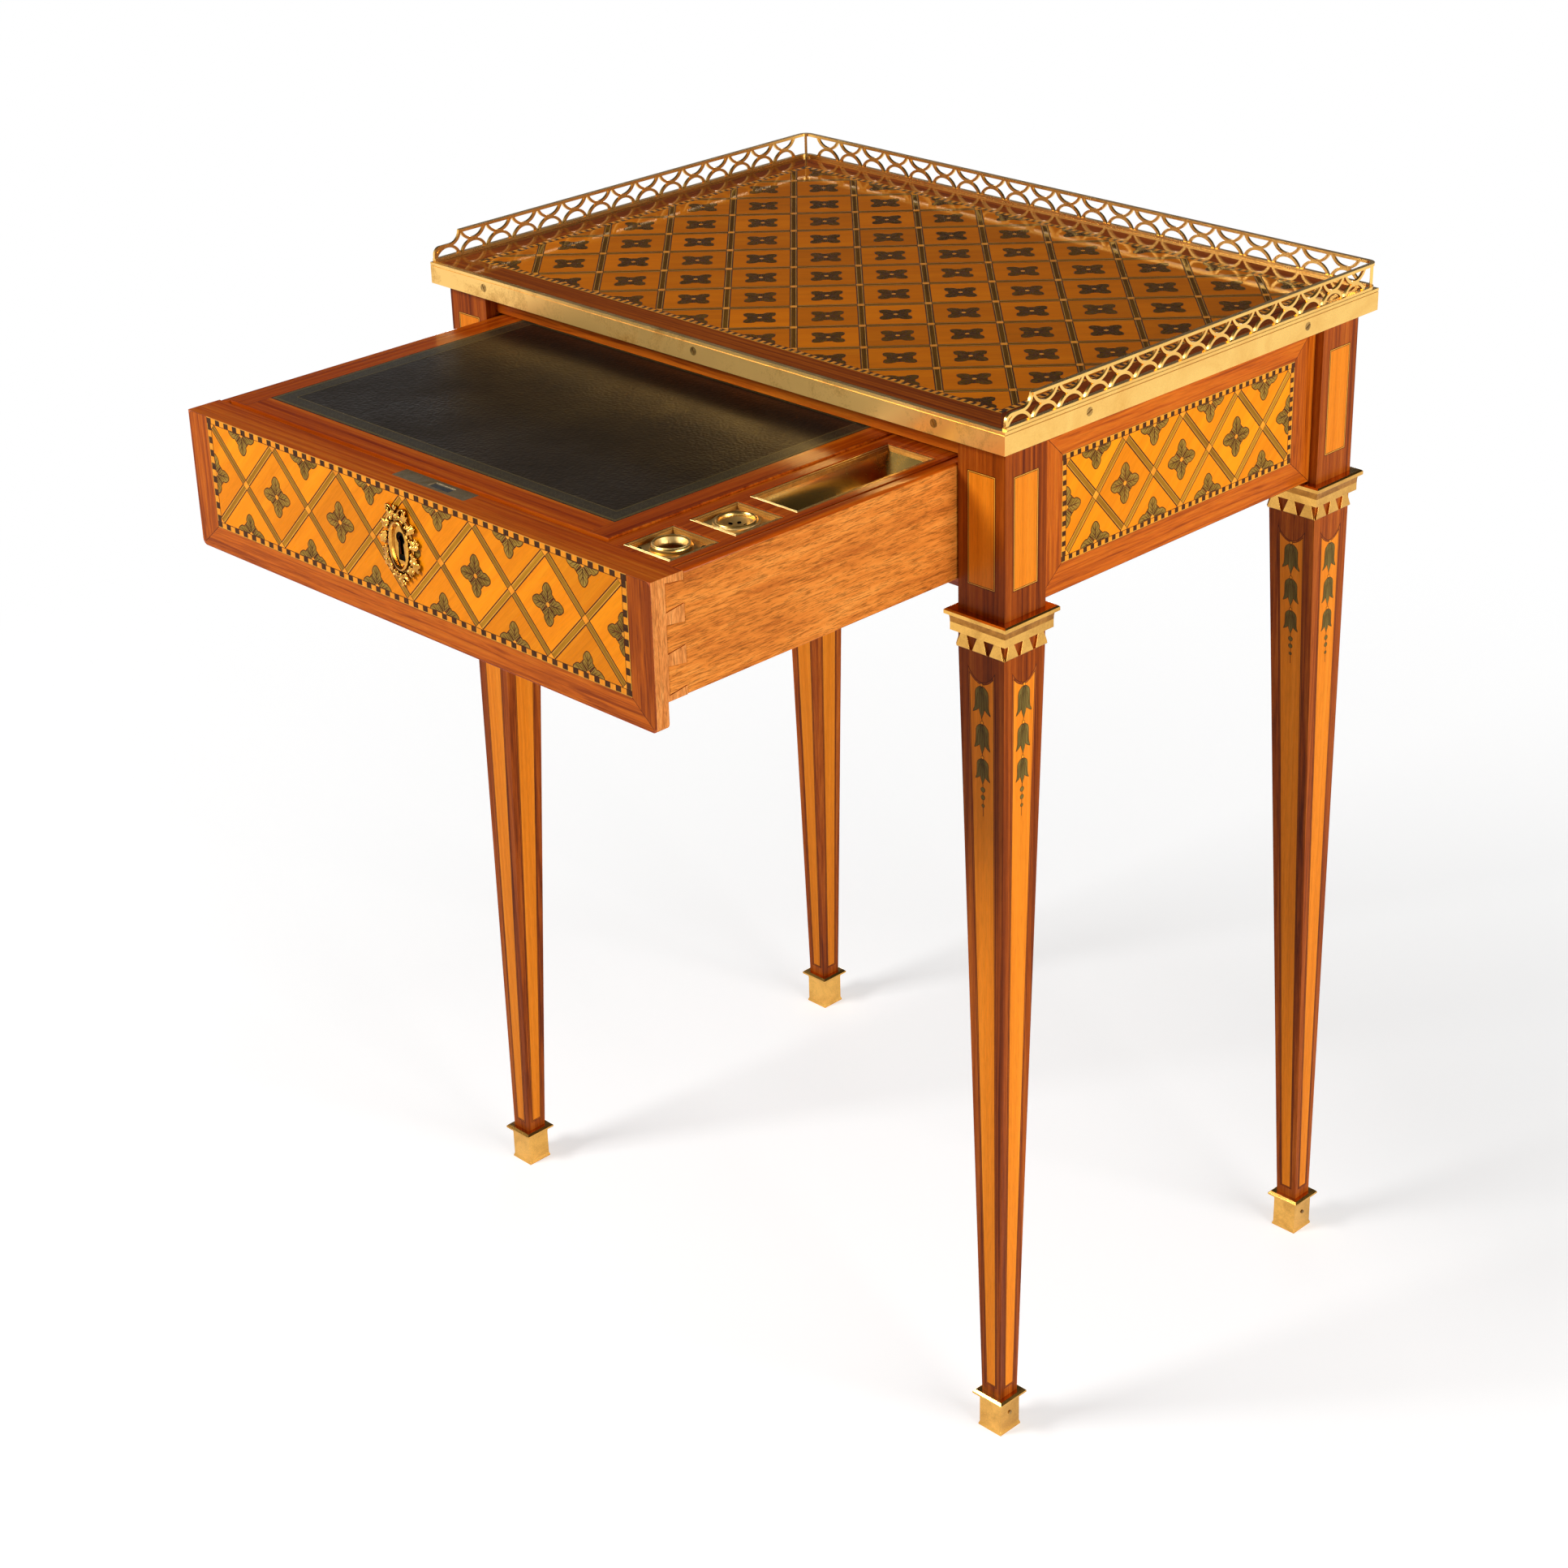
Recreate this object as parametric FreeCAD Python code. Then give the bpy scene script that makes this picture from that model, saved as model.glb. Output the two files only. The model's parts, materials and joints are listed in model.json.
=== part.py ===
import FreeCAD, Part
import math
import os

from FreeCAD import Vector

# Writing table in the Louis XVI manner: a marquetry top with a brass edge band and a pierced
# gallery, four square tapering legs with brass collars and shoes, and one frieze drawer that
# holds a leather-lined writing slide, an inkwell, a pounce pot and a pen tray.
# Millimetres, +X right, +Y to the back, +Z up. Everything is worked out from the middle of the
# table with the drawer shut; the drawer's pieces are then moved by DRAWER_OPEN, and all pieces
# by -FOOTPRINT_MIDDLE, which puts the origin on the floor in the middle of the open table.

# ---- overall
TABLE_HEIGHT = 740.0        # floor to the face of the top
TOP_WIDTH = 534.0           # over the edge bands, along X
TOP_DEPTH = 372.0           # over the edge bands, along Y
TOP_THICK = 15.0            # also the height of the edge bands
OVERHANG_SIDE = 8.0         # top past the outer faces of the legs, along X
OVERHANG_FRONT = 9.6        # the same along Y
GAP = 0.3                   # running gap between pieces on different bodies
PAST = 1.0                  # how far cutting shapes run past a surface
LEG_CLEARANCE = 1.1         # each side of the drawer, between the legs

# ---- legs, collars and shoes
LEG_SQUARE = 38.0
LEG_TOE = 17.0              # width where the leg enters the shoe
COLLAR_DROP = 1.0           # collar below the bottom of the aprons
COLLAR_HEIGHT = 25.5
COLLAR_LIP = 6.5            # overhang of the upper lip
COLLAR_LIP_HEIGHT = 3.5
COLLAR_FASCIA = 3.7         # overhang of the plain fascia under the cove
COLLAR_FASCIA_HEIGHT = 5.5
COLLAR_COVE_HEIGHT = 5.5
COLLAR_COVE_TOP = 1.6       # lip's soffit past the head of the cove
COLLAR_SKIRT = 1.9          # overhang of the toothed skirt at its foot
COLLAR_SKIRT_TOP = 0.8      # the same under the fascia
MOULDING_EASE = 1.0         # small chamfer on the edges of the collars and shoes
COVE_STEPS = 4              # flats in each hollow of the mouldings
TEETH_PER_FACE = 3
TOOTH_NOTCH_TOP = 9.4
TOOTH_NOTCH_FOOT = 0.8
SHOE_HEIGHT = 30.0
SHOE_SOLE = 4.0
SHOE_WALL = 1.2
SHOE_FLARE = 0.7
SHOE_FLARE_HEIGHT = 3.0
SHOE_FLANGE = 4.8           # overhang of the moulded rim past the leg
SHOE_FLANGE_SLOPE = 1.6
SHOE_RIM_HEIGHT = 3.0
SHOE_COVE_HEIGHT = 4.5
PIN_RADIUS = 0.9
PIN_HEAD_RADIUS = 1.5
PIN_HEAD_HEIGHT = 0.6
PIN_DEPTH = 7.0

# ---- frieze
APRON_THICK = 18.0
FRIEZE_HEIGHT = 111.0       # aprons, from the underside of the top
APRON_RECESS = 6.5          # face of the side and back aprons behind the legs' faces
FRONT_RECESS = 9.0          # face of the upper rail and the shut drawer behind the legs
TENON_LENGTH = 16.0
TENON_THICK = 8.0
TENON_SHOULDER = 8.0        # apron tenon short of the apron's two edges
RAIL_SHOULDER = 2.0         # rail tenon short of the rail's faces
UPPER_RAIL_HEIGHT = 16.0
RAIL_DEPTH = 40.4
LOWER_RAIL_LIFT = 2.5       # lower rail above the bottom of the aprons
RUNNER_WIDTH = 17.0
RUNNER_HEIGHT = 12.8
GUIDE_HEIGHT = 32.0
KICKER_GAP = 1.8
GLUE_BLOCK = 12.0
GLUE_BLOCK_LENGTH = 40.0
GLUE_BLOCK_MARGIN = 28.4    # between a block and the leg beside it

# ---- edge band and gallery
BAND_THICK = 3.7
TOP_CORNER = 5.0            # rounding of the wooden top's back corners, inside the gallery
BAND_BEAD = 0.5
BAND_BEAD_HEIGHT = 2.0
SCREW_HEAD_RADIUS = 2.9
SCREW_HEAD_DEPTH = 1.8
SCREW_SHANK_RADIUS = 1.3
SCREW_LENGTH = 12.0
SCREW_SLOT = 0.7
SCREW_SLOT_DEPTH = 0.6
FRONT_SCREW_MARGIN = 57.0   # outer screws of the front and back bands from the corners
SIDE_SCREW_MARGIN = 77.0    # screws of the side bands from the corners
SCREW_TURN = 65.0           # how far the slots are turned
GALLERY_HEIGHT = 18.0
GALLERY_INSET = 2.0         # gallery's centre line inside the face of the band
GALLERY_CORNER = 6.0
GALLERY_RAIL = 2.0
GALLERY_RAIL_WIDTH = 3.2
GALLERY_WEB = 1.8
GALLERY_BAR = 2.0
ARCH_RADIUS = 11.6
ARCH_MEET = 0.5             # arches short of the middle height, on their centre lines
BACK_ARCHES = 21
SIDE_ARCHES = 14

# ---- drawer
DRAWER_OPEN = 259.6         # how far the modelled drawer stands open
DRAWER_BACK_GAP = 9.3       # behind the shut drawer
DRAWER_TOP_GAP = 2.2        # between the drawer and the upper rail
DRAWER_FRONT_THICK = 24.6
LIP_THICK = 9.5
LIP_HEIGHT = 17.1           # thinner lower edge of the front that hides the lower rail
FRONT_CORNER = 4.0          # rounding of the front's two lower corners
SIDE_THICK = 9.0
SIDE_ROUND = 2.5            # rounding of the upper edges of the drawer sides
BOTTOM_THICK = 6.0
BOTTOM_LIFT = 7.0           # drawer bottom above the lower edge of the sides
GROOVE_DEPTH = 4.0
DOVETAILS = 3
DOVETAIL_LENGTH = 14.0
DOVETAIL_ROOT = 14.0
DOVETAIL_END = 18.0
BEARER_WIDTH = 8.0
BEARER_HEIGHT = 8.0
DECK_BEARER_WIDTH = 4.6
DIVIDER_THICK = 12.0
DIVIDER_UNDER_PANEL = 8.0   # bearing that the divider gives the writing panel
DECK_WIDTH = 55.5
DECK_THICK = 9.0
DECK_GAP = 0.4

# ---- writing slide
PANEL_THICK = 10.0
PANEL_PROUD = 1.2           # panel above the drawer's rim
PANEL_FRONT_GAP = 2.4       # between the drawer front and the panel
PANEL_BACK_GAP = 18.0       # panel short of the back of the drawer
LEATHER_THICK = 1.2
LEATHER_BORDER_SIDE = 16.4
LEATHER_BORDER_END = 20.0
PULL_GROOVE_RADIUS = 2.0

# ---- writing fittings
PLATE_SIZE = 39.0
PLATE_THICK = 1.6
PLATE_SINK = 3.0            # face of the plates below the rim
PLATE_CLEARANCE = 0.5
PLATE_LEDGE = 2.2
PLATE_BORDER = 2.4
PLATE_BORDER_RISE = 1.0
FITTING_MARGIN = 26.2       # centre line of the fittings inside the drawer side
INKWELL_MARGIN = 4.5        # inkwell plate behind the drawer front
POT_SPACING = 12.6          # between the inkwell and pounce plates
TRAY_SPACING = 10.3         # between the pounce plate and the tray
TRAY_LENGTH = 119.0
TRAY_WIDTH = 40.0
TRAY_WALL = 1.0
TRAY_RIM = 2.4
TRAY_DEPTH = 14.0
TRAY_END_SLOPE = 12.0
INK_RING_RADIUS = 12.4
INK_HOLE_RADIUS = 8.6
INK_RING_RISE = 3.8
QUILL_HOLE_RADIUS = 2.2
QUILL_HOLE_OFFSET = 13.6
CUP_CLEARANCE = 1.8
CUP_WALL = 1.2
CUP_DEPTH = 34.0
DISH_RADIUS = 12.8
DISH_SINK = 4.2
DISH_SHEET = 1.2
DISH_RIM = 1.6
POUNCE_HOLE_RADIUS = 0.9
POUNCE_HOLES = 6
POUNCE_HOLE_CIRCLE = 5.2

# ---- lock
LOCK_LEFT = -25.0
LOCK_RIGHT = 43.0
LOCK_SELVEDGE = 12.0        # width of the plate let into the drawer's upper edge
LOCK_PLATE_THICK = 1.5
LOCK_BACK_LIP = 0.2         # lock short of the inner face of the drawer front
LOCK_CASE_INSET = 4.0
LOCK_SHEET = 1.8            # back of the lock case, not pierced by the keyhole
LOCK_CASE_HEIGHT = 48.0
BOLT_LEFT = 6.0
BOLT_WIDTH = 19.0
BOLT_THICK = 6.0
BOLT_HEIGHT = 16.0
BOLT_TRAVEL = 6.0
BOLT_SINK = 0.6
CATCH_DEPTH = 2.3           # catch in the rail past the end of the thrown bolt
KEYHOLE_X = -4.5
KEYHOLE_DROP = 33.0         # eye of the keyhole below the drawer's rim
KEYHOLE_RADIUS = 2.4
KEYHOLE_SLOT = 2.8
KEYHOLE_LENGTH = 11.0
ESCUTCHEON_WIDTH = 40.0
ESCUTCHEON_HEIGHT = 54.0
ESCUTCHEON_DROP = 37.0
ESCUTCHEON_THICK = 2.0
ESCUTCHEON_BOSS = 1.6
BOSS_WIDTH = 20.0
BOSS_HEIGHT = 30.0
ESCUTCHEON_PIN_SPREAD = 20.0

# ---- worked out from the above
TOP_UNDER = TABLE_HEIGHT - TOP_THICK
APRON_BOTTOM = TOP_UNDER - FRIEZE_HEIGHT
COLLAR_TOP = APRON_BOTTOM - COLLAR_DROP
COLLAR_BOTTOM = COLLAR_TOP - COLLAR_HEIGHT
LEG_X = TOP_WIDTH / 2 - OVERHANG_SIDE
LEG_Y = TOP_DEPTH / 2 - OVERHANG_FRONT
LEG_IN_X = LEG_X - LEG_SQUARE
LEG_IN_Y = LEG_Y - LEG_SQUARE
SIDE_FACE = LEG_X - APRON_RECESS
SIDE_INNER = SIDE_FACE - APRON_THICK
BACK_FACE = LEG_Y - APRON_RECESS
BACK_INNER = BACK_FACE - APRON_THICK
FRONT_FACE = -LEG_Y + FRONT_RECESS
RAIL_BACK = FRONT_FACE + RAIL_DEPTH
UPPER_RAIL_BOTTOM = TOP_UNDER - UPPER_RAIL_HEIGHT
RIM = UPPER_RAIL_BOTTOM - DRAWER_TOP_GAP
SIDE_BOTTOM = APRON_BOTTOM + LIP_HEIGHT
SIDE_HEIGHT = RIM - SIDE_BOTTOM
DRAWER_LENGTH = BACK_INNER - FRONT_FACE - DRAWER_BACK_GAP
RUNNER_TOP = SIDE_BOTTOM - GAP
DRAWER_HALF = LEG_IN_X - LEG_CLEARANCE
DRAWER_INNER = DRAWER_HALF - SIDE_THICK
FLOOR_BOTTOM = SIDE_BOTTOM + BOTTOM_LIFT
FLOOR_TOP = FLOOR_BOTTOM + BOTTOM_THICK
BEARER_TOP = RIM - DECK_THICK
WELL_BACK = DRAWER_LENGTH - SIDE_THICK
PANEL_TOP = RIM + PANEL_PROUD
PANEL_BOTTOM = PANEL_TOP - PANEL_THICK
PLATE_TOP = RIM - PLATE_SINK
PLATE_BOTTOM = PLATE_TOP - PLATE_THICK
PANEL_EDGE = DRAWER_INNER - DECK_WIDTH - DECK_GAP
PANEL_START = DRAWER_FRONT_THICK + PANEL_FRONT_GAP
PANEL_DEPTH = DRAWER_LENGTH - PANEL_START - PANEL_BACK_GAP
DIVIDER_LEFT = PANEL_EDGE - DIVIDER_UNDER_PANEL
FITTING_X = DRAWER_INNER - FITTING_MARGIN
INKWELL_Y = DRAWER_FRONT_THICK + INKWELL_MARGIN + PLATE_SIZE / 2
POUNCE_Y = INKWELL_Y + PLATE_SIZE + POT_SPACING
TRAY_START = POUNCE_Y + PLATE_SIZE / 2 + TRAY_SPACING
CUP_RADIUS = PLATE_SIZE / 2 - PLATE_LEDGE - CUP_CLEARANCE
STEP_RADIUS = GALLERY_HEIGHT / 2
LOCK_FRONT = DRAWER_FRONT_THICK - LOCK_BACK_LIP - LOCK_SELVEDGE
LOCK_MIDDLE = LOCK_FRONT + LOCK_SELVEDGE / 2
FOOTPRINT_FRONT = FRONT_FACE - DRAWER_OPEN - ESCUTCHEON_THICK - ESCUTCHEON_BOSS
FOOTPRINT_MIDDLE = (FOOTPRINT_FRONT + TOP_DEPTH / 2) / 2


def box(low, high):
    """Block between two opposite corners."""
    size = [high[i] - low[i] for i in range(3)]
    return Part.makeBox(size[0], size[1], size[2], Vector(*low))


def rod(x, y, z, radius, length, axis):
    """Round bar from a point along an axis."""
    return Part.makeCylinder(radius, length, Vector(x, y, z), axis)


def prism(points, travel):
    """Flat outline pushed along a vector."""
    closed = [Vector(*p) for p in points] + [Vector(*points[0])]
    return Part.Face(Part.makePolygon(closed)).extrude(travel)


def frustum(low, high):
    """Solid between two outlines with as many corners, with flat sides."""
    low = [Vector(*p) for p in low]
    high = [Vector(*p) for p in high]
    faces = [Part.Face(Part.makePolygon(low + [low[0]])), Part.Face(Part.makePolygon(high + [high[0]]))]
    for number in range(len(low)):
        after = (number + 1) % len(low)
        side = [low[number], low[after], high[after], high[number], low[number]]
        faces.append(Part.Face(Part.makePolygon(side)))
    solid = Part.Solid(Part.Shell(faces))
    if solid.Volume < 0:
        solid.reverse()
    return solid


def hollow(wide, narrow, z_top, z_bottom):
    """Points of a cove that runs in from a wide edge above to a narrow one below."""
    points = []
    for step in range(COVE_STEPS + 1):
        angle = math.pi / 2 * step / COVE_STEPS
        points.append((wide - (wide - narrow) * math.sin(angle),
                       z_bottom + (z_top - z_bottom) * math.cos(angle)))
    return points


def fuse(shapes):
    """One clean solid from shapes that touch or overlap."""
    return shapes[0].multiFuse(shapes[1:]).removeSplitter()


def mirror_x(shape):
    return shape.mirror(Vector(0, 0, 0), Vector(1, 0, 0))


def mirror_y(shape):
    return shape.mirror(Vector(0, 0, 0), Vector(0, 1, 0))


def save(name, shape):
    """Write one piece, or one group of like pieces, as a STEP file in the part's own frame."""
    placed = shape.copy()
    placed.translate(Vector(0, -FOOTPRINT_MIDDLE, 0))
    placed.exportStep("parts/%s.step" % name)


def save_pair(name, right):
    """Write a right-hand piece and its mirror image."""
    save(name + "_right", right)
    save(name + "_left", mirror_x(right))


def save_corners(name, shape):
    """Write the front right piece and its three mirror images."""
    for depth, piece in (("front", shape), ("back", mirror_y(shape))):
        save("%s_%s_right" % (name, depth), piece)
        save("%s_%s_left" % (name, depth), mirror_x(piece))


def save_drawer(name, shape):
    """Write a piece of the drawer, moved from shut to open."""
    moved = shape.copy()
    moved.translate(Vector(0, -DRAWER_OPEN, 0))
    save(name, moved)


def square_moulding(centre, profile):
    """Mitred moulding round a square: profile holds (half width, z) from top to bottom."""
    cx, cy = centre
    right = [(cx + half, z) for half, z in profile]
    left = [(cx - half, z) for half, z in reversed(profile)]
    reach = 2 * max(half for half, z in profile)
    along_y = prism([(x, cy - reach, z) for x, z in right + left], Vector(0, 2 * reach, 0))
    turn = along_y.copy()
    turn.rotate(Vector(cx, cy, 0), Vector(0, 0, 1), 90)
    return along_y.common(turn)


# ---- top, edge bands and gallery
def screw_shape(point, inward):
    """Slotted countersunk screw with its head flush at a point."""
    head = Part.makeCone(SCREW_HEAD_RADIUS, SCREW_SHANK_RADIUS, SCREW_HEAD_DEPTH, point, inward)
    shank = Part.makeCylinder(SCREW_SHANK_RADIUS, SCREW_LENGTH, point, inward)
    return fuse([head, shank])


def screw_places():
    """Head centres of the band screws and the way each screw points."""
    z = TABLE_HEIGHT - TOP_THICK / 2
    places = []
    spread_x = TOP_WIDTH / 2 - FRONT_SCREW_MARGIN
    spread_y = TOP_DEPTH / 2 - SIDE_SCREW_MARGIN
    for x in (-spread_x, 0, spread_x):
        places.append((Vector(x, -TOP_DEPTH / 2, z), Vector(0, 1, 0)))
        places.append((Vector(x, TOP_DEPTH / 2, z), Vector(0, -1, 0)))
    for y in (-spread_y, spread_y):
        places.append((Vector(TOP_WIDTH / 2, y, z), Vector(-1, 0, 0)))
        places.append((Vector(-TOP_WIDTH / 2, y, z), Vector(1, 0, 0)))
    return places


def slotted(point, inward):
    """The screw with its driver slot, turned a little as fitted."""
    slot = box((-2 * SCREW_HEAD_RADIUS, -SCREW_SLOT / 2, -SCREW_SLOT_DEPTH),
               (2 * SCREW_HEAD_RADIUS, SCREW_SLOT / 2, SCREW_SLOT_DEPTH))
    slot.rotate(Vector(0, 0, 0), Vector(0, 0, 1), SCREW_TURN)
    aim = FreeCAD.Placement(point, FreeCAD.Rotation(Vector(0, 0, 1), inward))
    slot.Placement = aim * slot.Placement
    return screw_shape(point, inward).cut(slot)


def top_board():
    """Wooden top inside the bands, with its back corners rounded under the gallery's corners."""
    hx, hy = TOP_WIDTH / 2 - BAND_THICK, TOP_DEPTH / 2 - BAND_THICK
    board = box((-hx, -hy, TOP_UNDER), (hx, hy, TABLE_HEIGHT))
    upright = [edge for edge in board.Edges if edge.BoundBox.ZLength > TOP_THICK / 2]
    return board.makeFillet(TOP_CORNER, [edge for edge in upright if edge.BoundBox.YMin > 0])


def band_ring():
    """Whole brass band before it is cut at the mitres, with a fine bead along its upper edge."""
    hx, hy = TOP_WIDTH / 2, TOP_DEPTH / 2
    z = TABLE_HEIGHT - BAND_BEAD_HEIGHT
    quirk = box((-hx - PAST, -hy - PAST, z - BAND_BEAD), (hx + PAST, hy + PAST, z))
    quirk = quirk.cut(box((-hx + BAND_BEAD, -hy + BAND_BEAD, z - BAND_BEAD),
                          (hx - BAND_BEAD, hy - BAND_BEAD, z)))
    return box((-hx, -hy, TOP_UNDER), (hx, hy, TABLE_HEIGHT)).cut(top_board()).cut(quirk)


def band_length(ring, corners):
    """Share of the band between the mitres at two neighbouring corners of the top."""
    reach = BAND_THICK + TOP_CORNER
    outline = [(x, y, TOP_UNDER) for x, y in corners]
    for x, y in reversed(corners):
        outline.append((x - math.copysign(reach, x), y - math.copysign(reach, y), TOP_UNDER))
    return ring.common(prism(outline, Vector(0, 0, TOP_THICK)))


def make_top():
    places = screw_places()
    holes = group([screw_shape(p, d) for p, d in places])
    save("top_panel", top_board().cut(holes))
    hx, hy = TOP_WIDTH / 2, TOP_DEPTH / 2
    ring = band_ring().cut(holes)
    save("edge_band_front", band_length(ring, [(-hx, -hy), (hx, -hy)]))
    save("edge_band_back", band_length(ring, [(-hx, hy), (hx, hy)]))
    save("edge_band_right", band_length(ring, [(hx, -hy), (hx, hy)]))
    save("edge_band_left", band_length(ring, [(-hx, -hy), (-hx, hy)]))
    save("band_screws", group([slotted(p, d) for p, d in places]))


def group(shapes):
    """Separate solids kept together in one node."""
    return Part.makeCompound(shapes)


def ring_part(centre, middle, window):
    """Part of a ring of bar in the XZ plane, inside a window (x0, z0, x1, z1)."""
    start = Vector(centre[0], -GALLERY_WEB / 2, centre[1])
    outer = Part.makeCylinder(middle + GALLERY_BAR / 2, GALLERY_WEB, start, Vector(0, 1, 0))
    inner = Part.makeCylinder(middle - GALLERY_BAR / 2, GALLERY_WEB, start, Vector(0, 1, 0))
    x0, z0, x1, z1 = window
    frame = box((x0, -GALLERY_WEB, z0), (x1, GALLERY_WEB, z1))
    return outer.cut(inner).common(frame)


def arch(x, upright):
    """One arch of the gallery: upright on the base rail, or hanging from the top rail."""
    low, high = GALLERY_RAIL / 2, GALLERY_HEIGHT - GALLERY_RAIL / 2
    middle = GALLERY_HEIGHT / 2
    if upright:
        return ring_part((x, middle - ARCH_MEET - ARCH_RADIUS), ARCH_RADIUS,
                         (x - ARCH_RADIUS, low, x + ARCH_RADIUS, high))
    return ring_part((x, middle + ARCH_MEET + ARCH_RADIUS), ARCH_RADIUS,
                     (x - ARCH_RADIUS, low, x + ARCH_RADIUS, high))


def gallery_rail(x0, x1, z):
    """Straight rail of the gallery along X."""
    half = GALLERY_RAIL_WIDTH / 2
    return box((x0, -half, z), (x1, half, z + GALLERY_RAIL))


def gallery_end(pitch):
    """Lower front end of a side gallery: a short post, a low arch and a stepped scroll."""
    shoulder = GALLERY_HEIGHT / 2
    turn = shoulder / 2
    post = box((0, -GALLERY_WEB / 2, 0), (GALLERY_BAR, GALLERY_WEB / 2, shoulder - turn))
    bend = ring_part((turn + GALLERY_BAR / 2, shoulder - turn), turn,
                     (-GALLERY_BAR, shoulder - turn, turn + GALLERY_BAR / 2, shoulder + GALLERY_BAR))
    level = box((turn + GALLERY_BAR / 2, -GALLERY_WEB / 2, shoulder - GALLERY_BAR / 2),
                (pitch - STEP_RADIUS, GALLERY_WEB / 2, shoulder + GALLERY_BAR / 2))
    step = ring_part((pitch - STEP_RADIUS, shoulder + STEP_RADIUS), STEP_RADIUS,
                     (pitch - STEP_RADIUS, shoulder - GALLERY_BAR, pitch + GALLERY_BAR, GALLERY_HEIGHT))
    return [post, bend, level, step, arch(pitch / 2, True)]


def side_gallery_pitch():
    """Spacing of the arches: a low end, SIDE_ARCHES whole arches and half a space at the corner."""
    return (TOP_DEPTH - 2 * GALLERY_INSET) / (SIDE_ARCHES + 1.5)


def gallery_side():
    """Right-hand gallery, drawn along X and then turned to run from front to back."""
    length = TOP_DEPTH - 2 * GALLERY_INSET
    pitch = side_gallery_pitch()
    shapes = gallery_end(pitch)
    for number in range(SIDE_ARCHES):
        x = pitch * (number + 1.5)
        shapes += [arch(x, True), arch(x, False)]
    shapes.append(gallery_rail(0, length - GALLERY_CORNER, 0))
    shapes.append(gallery_rail(pitch, length - GALLERY_CORNER, GALLERY_HEIGHT - GALLERY_RAIL))
    run = fuse(shapes)
    run.rotate(Vector(0, 0, 0), Vector(0, 0, 1), 90)
    run.translate(Vector(TOP_WIDTH / 2 - GALLERY_INSET, -length / 2, TABLE_HEIGHT))
    return run


def corner_ring(x, y, z, width, height):
    """Quarter ring that carries a rail round the back right corner."""
    outer = Part.makeCylinder(GALLERY_CORNER + width / 2, height, Vector(x, y, z), Vector(0, 0, 1), 90)
    inner = Part.makeCylinder(GALLERY_CORNER - width / 2, height, Vector(x, y, z), Vector(0, 0, 1), 90)
    return outer.cut(inner)


def gallery_corner():
    """Both rails and the upright of the back right corner."""
    x = TOP_WIDTH / 2 - GALLERY_INSET - GALLERY_CORNER
    y = TOP_DEPTH / 2 - GALLERY_INSET - GALLERY_CORNER
    top = TABLE_HEIGHT + GALLERY_HEIGHT - GALLERY_RAIL
    post = Part.makeBox(2 * GALLERY_CORNER, GALLERY_BAR, GALLERY_HEIGHT,
                        Vector(x, y - GALLERY_BAR / 2, TABLE_HEIGHT))
    post.rotate(Vector(x, y, 0), Vector(0, 0, 1), 45)
    upright = corner_ring(x, y, TABLE_HEIGHT, GALLERY_WEB, GALLERY_HEIGHT).common(post)
    return [corner_ring(x, y, TABLE_HEIGHT, GALLERY_RAIL_WIDTH, GALLERY_RAIL),
            corner_ring(x, y, top, GALLERY_RAIL_WIDTH, GALLERY_RAIL), upright]


def gallery_back():
    """Back gallery with both rounded corners."""
    length = TOP_WIDTH - 2 * GALLERY_INSET
    pitch = length / (BACK_ARCHES + 1)
    shapes = []
    for number in range(BACK_ARCHES):
        x = pitch * (number + 1) - length / 2
        shapes += [arch(x, True), arch(x, False)]
    half = length / 2 - GALLERY_CORNER
    shapes.append(gallery_rail(-half, half, 0))
    shapes.append(gallery_rail(-half, half, GALLERY_HEIGHT - GALLERY_RAIL))
    run = fuse(shapes)
    run.translate(Vector(0, TOP_DEPTH / 2 - GALLERY_INSET, TABLE_HEIGHT))
    corner = gallery_corner()
    return fuse([run] + corner + [mirror_x(piece) for piece in corner])


def make_gallery():
    side = gallery_side()
    save("gallery_right", side)
    save("gallery_left", mirror_x(side))
    save("gallery_back", gallery_back())


# ---- legs, collars and shoes
def leg_blank():
    """Front right leg before its mortises: plumb outside, tapering on the two inner faces."""
    toe = LEG_TOE
    block = box((LEG_IN_X, -LEG_Y, COLLAR_BOTTOM), (LEG_X, -LEG_IN_Y, TOP_UNDER))
    taper = frustum(leg_section(toe, SHOE_HEIGHT), leg_section(LEG_SQUARE, COLLAR_BOTTOM))
    foot = box((LEG_X - toe, -LEG_Y, SHOE_SOLE), (LEG_X, -LEG_Y + toe, SHOE_HEIGHT))
    return fuse([block, taper, foot])


def leg_section(width, z):
    """Corners of the front right leg's square section at a height, flush with its outer corner."""
    x0, y0 = LEG_X - width, -LEG_Y
    return [(x0, y0, z), (LEG_X, y0, z), (LEG_X, y0 + width, z), (x0, y0 + width, z)]


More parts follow.
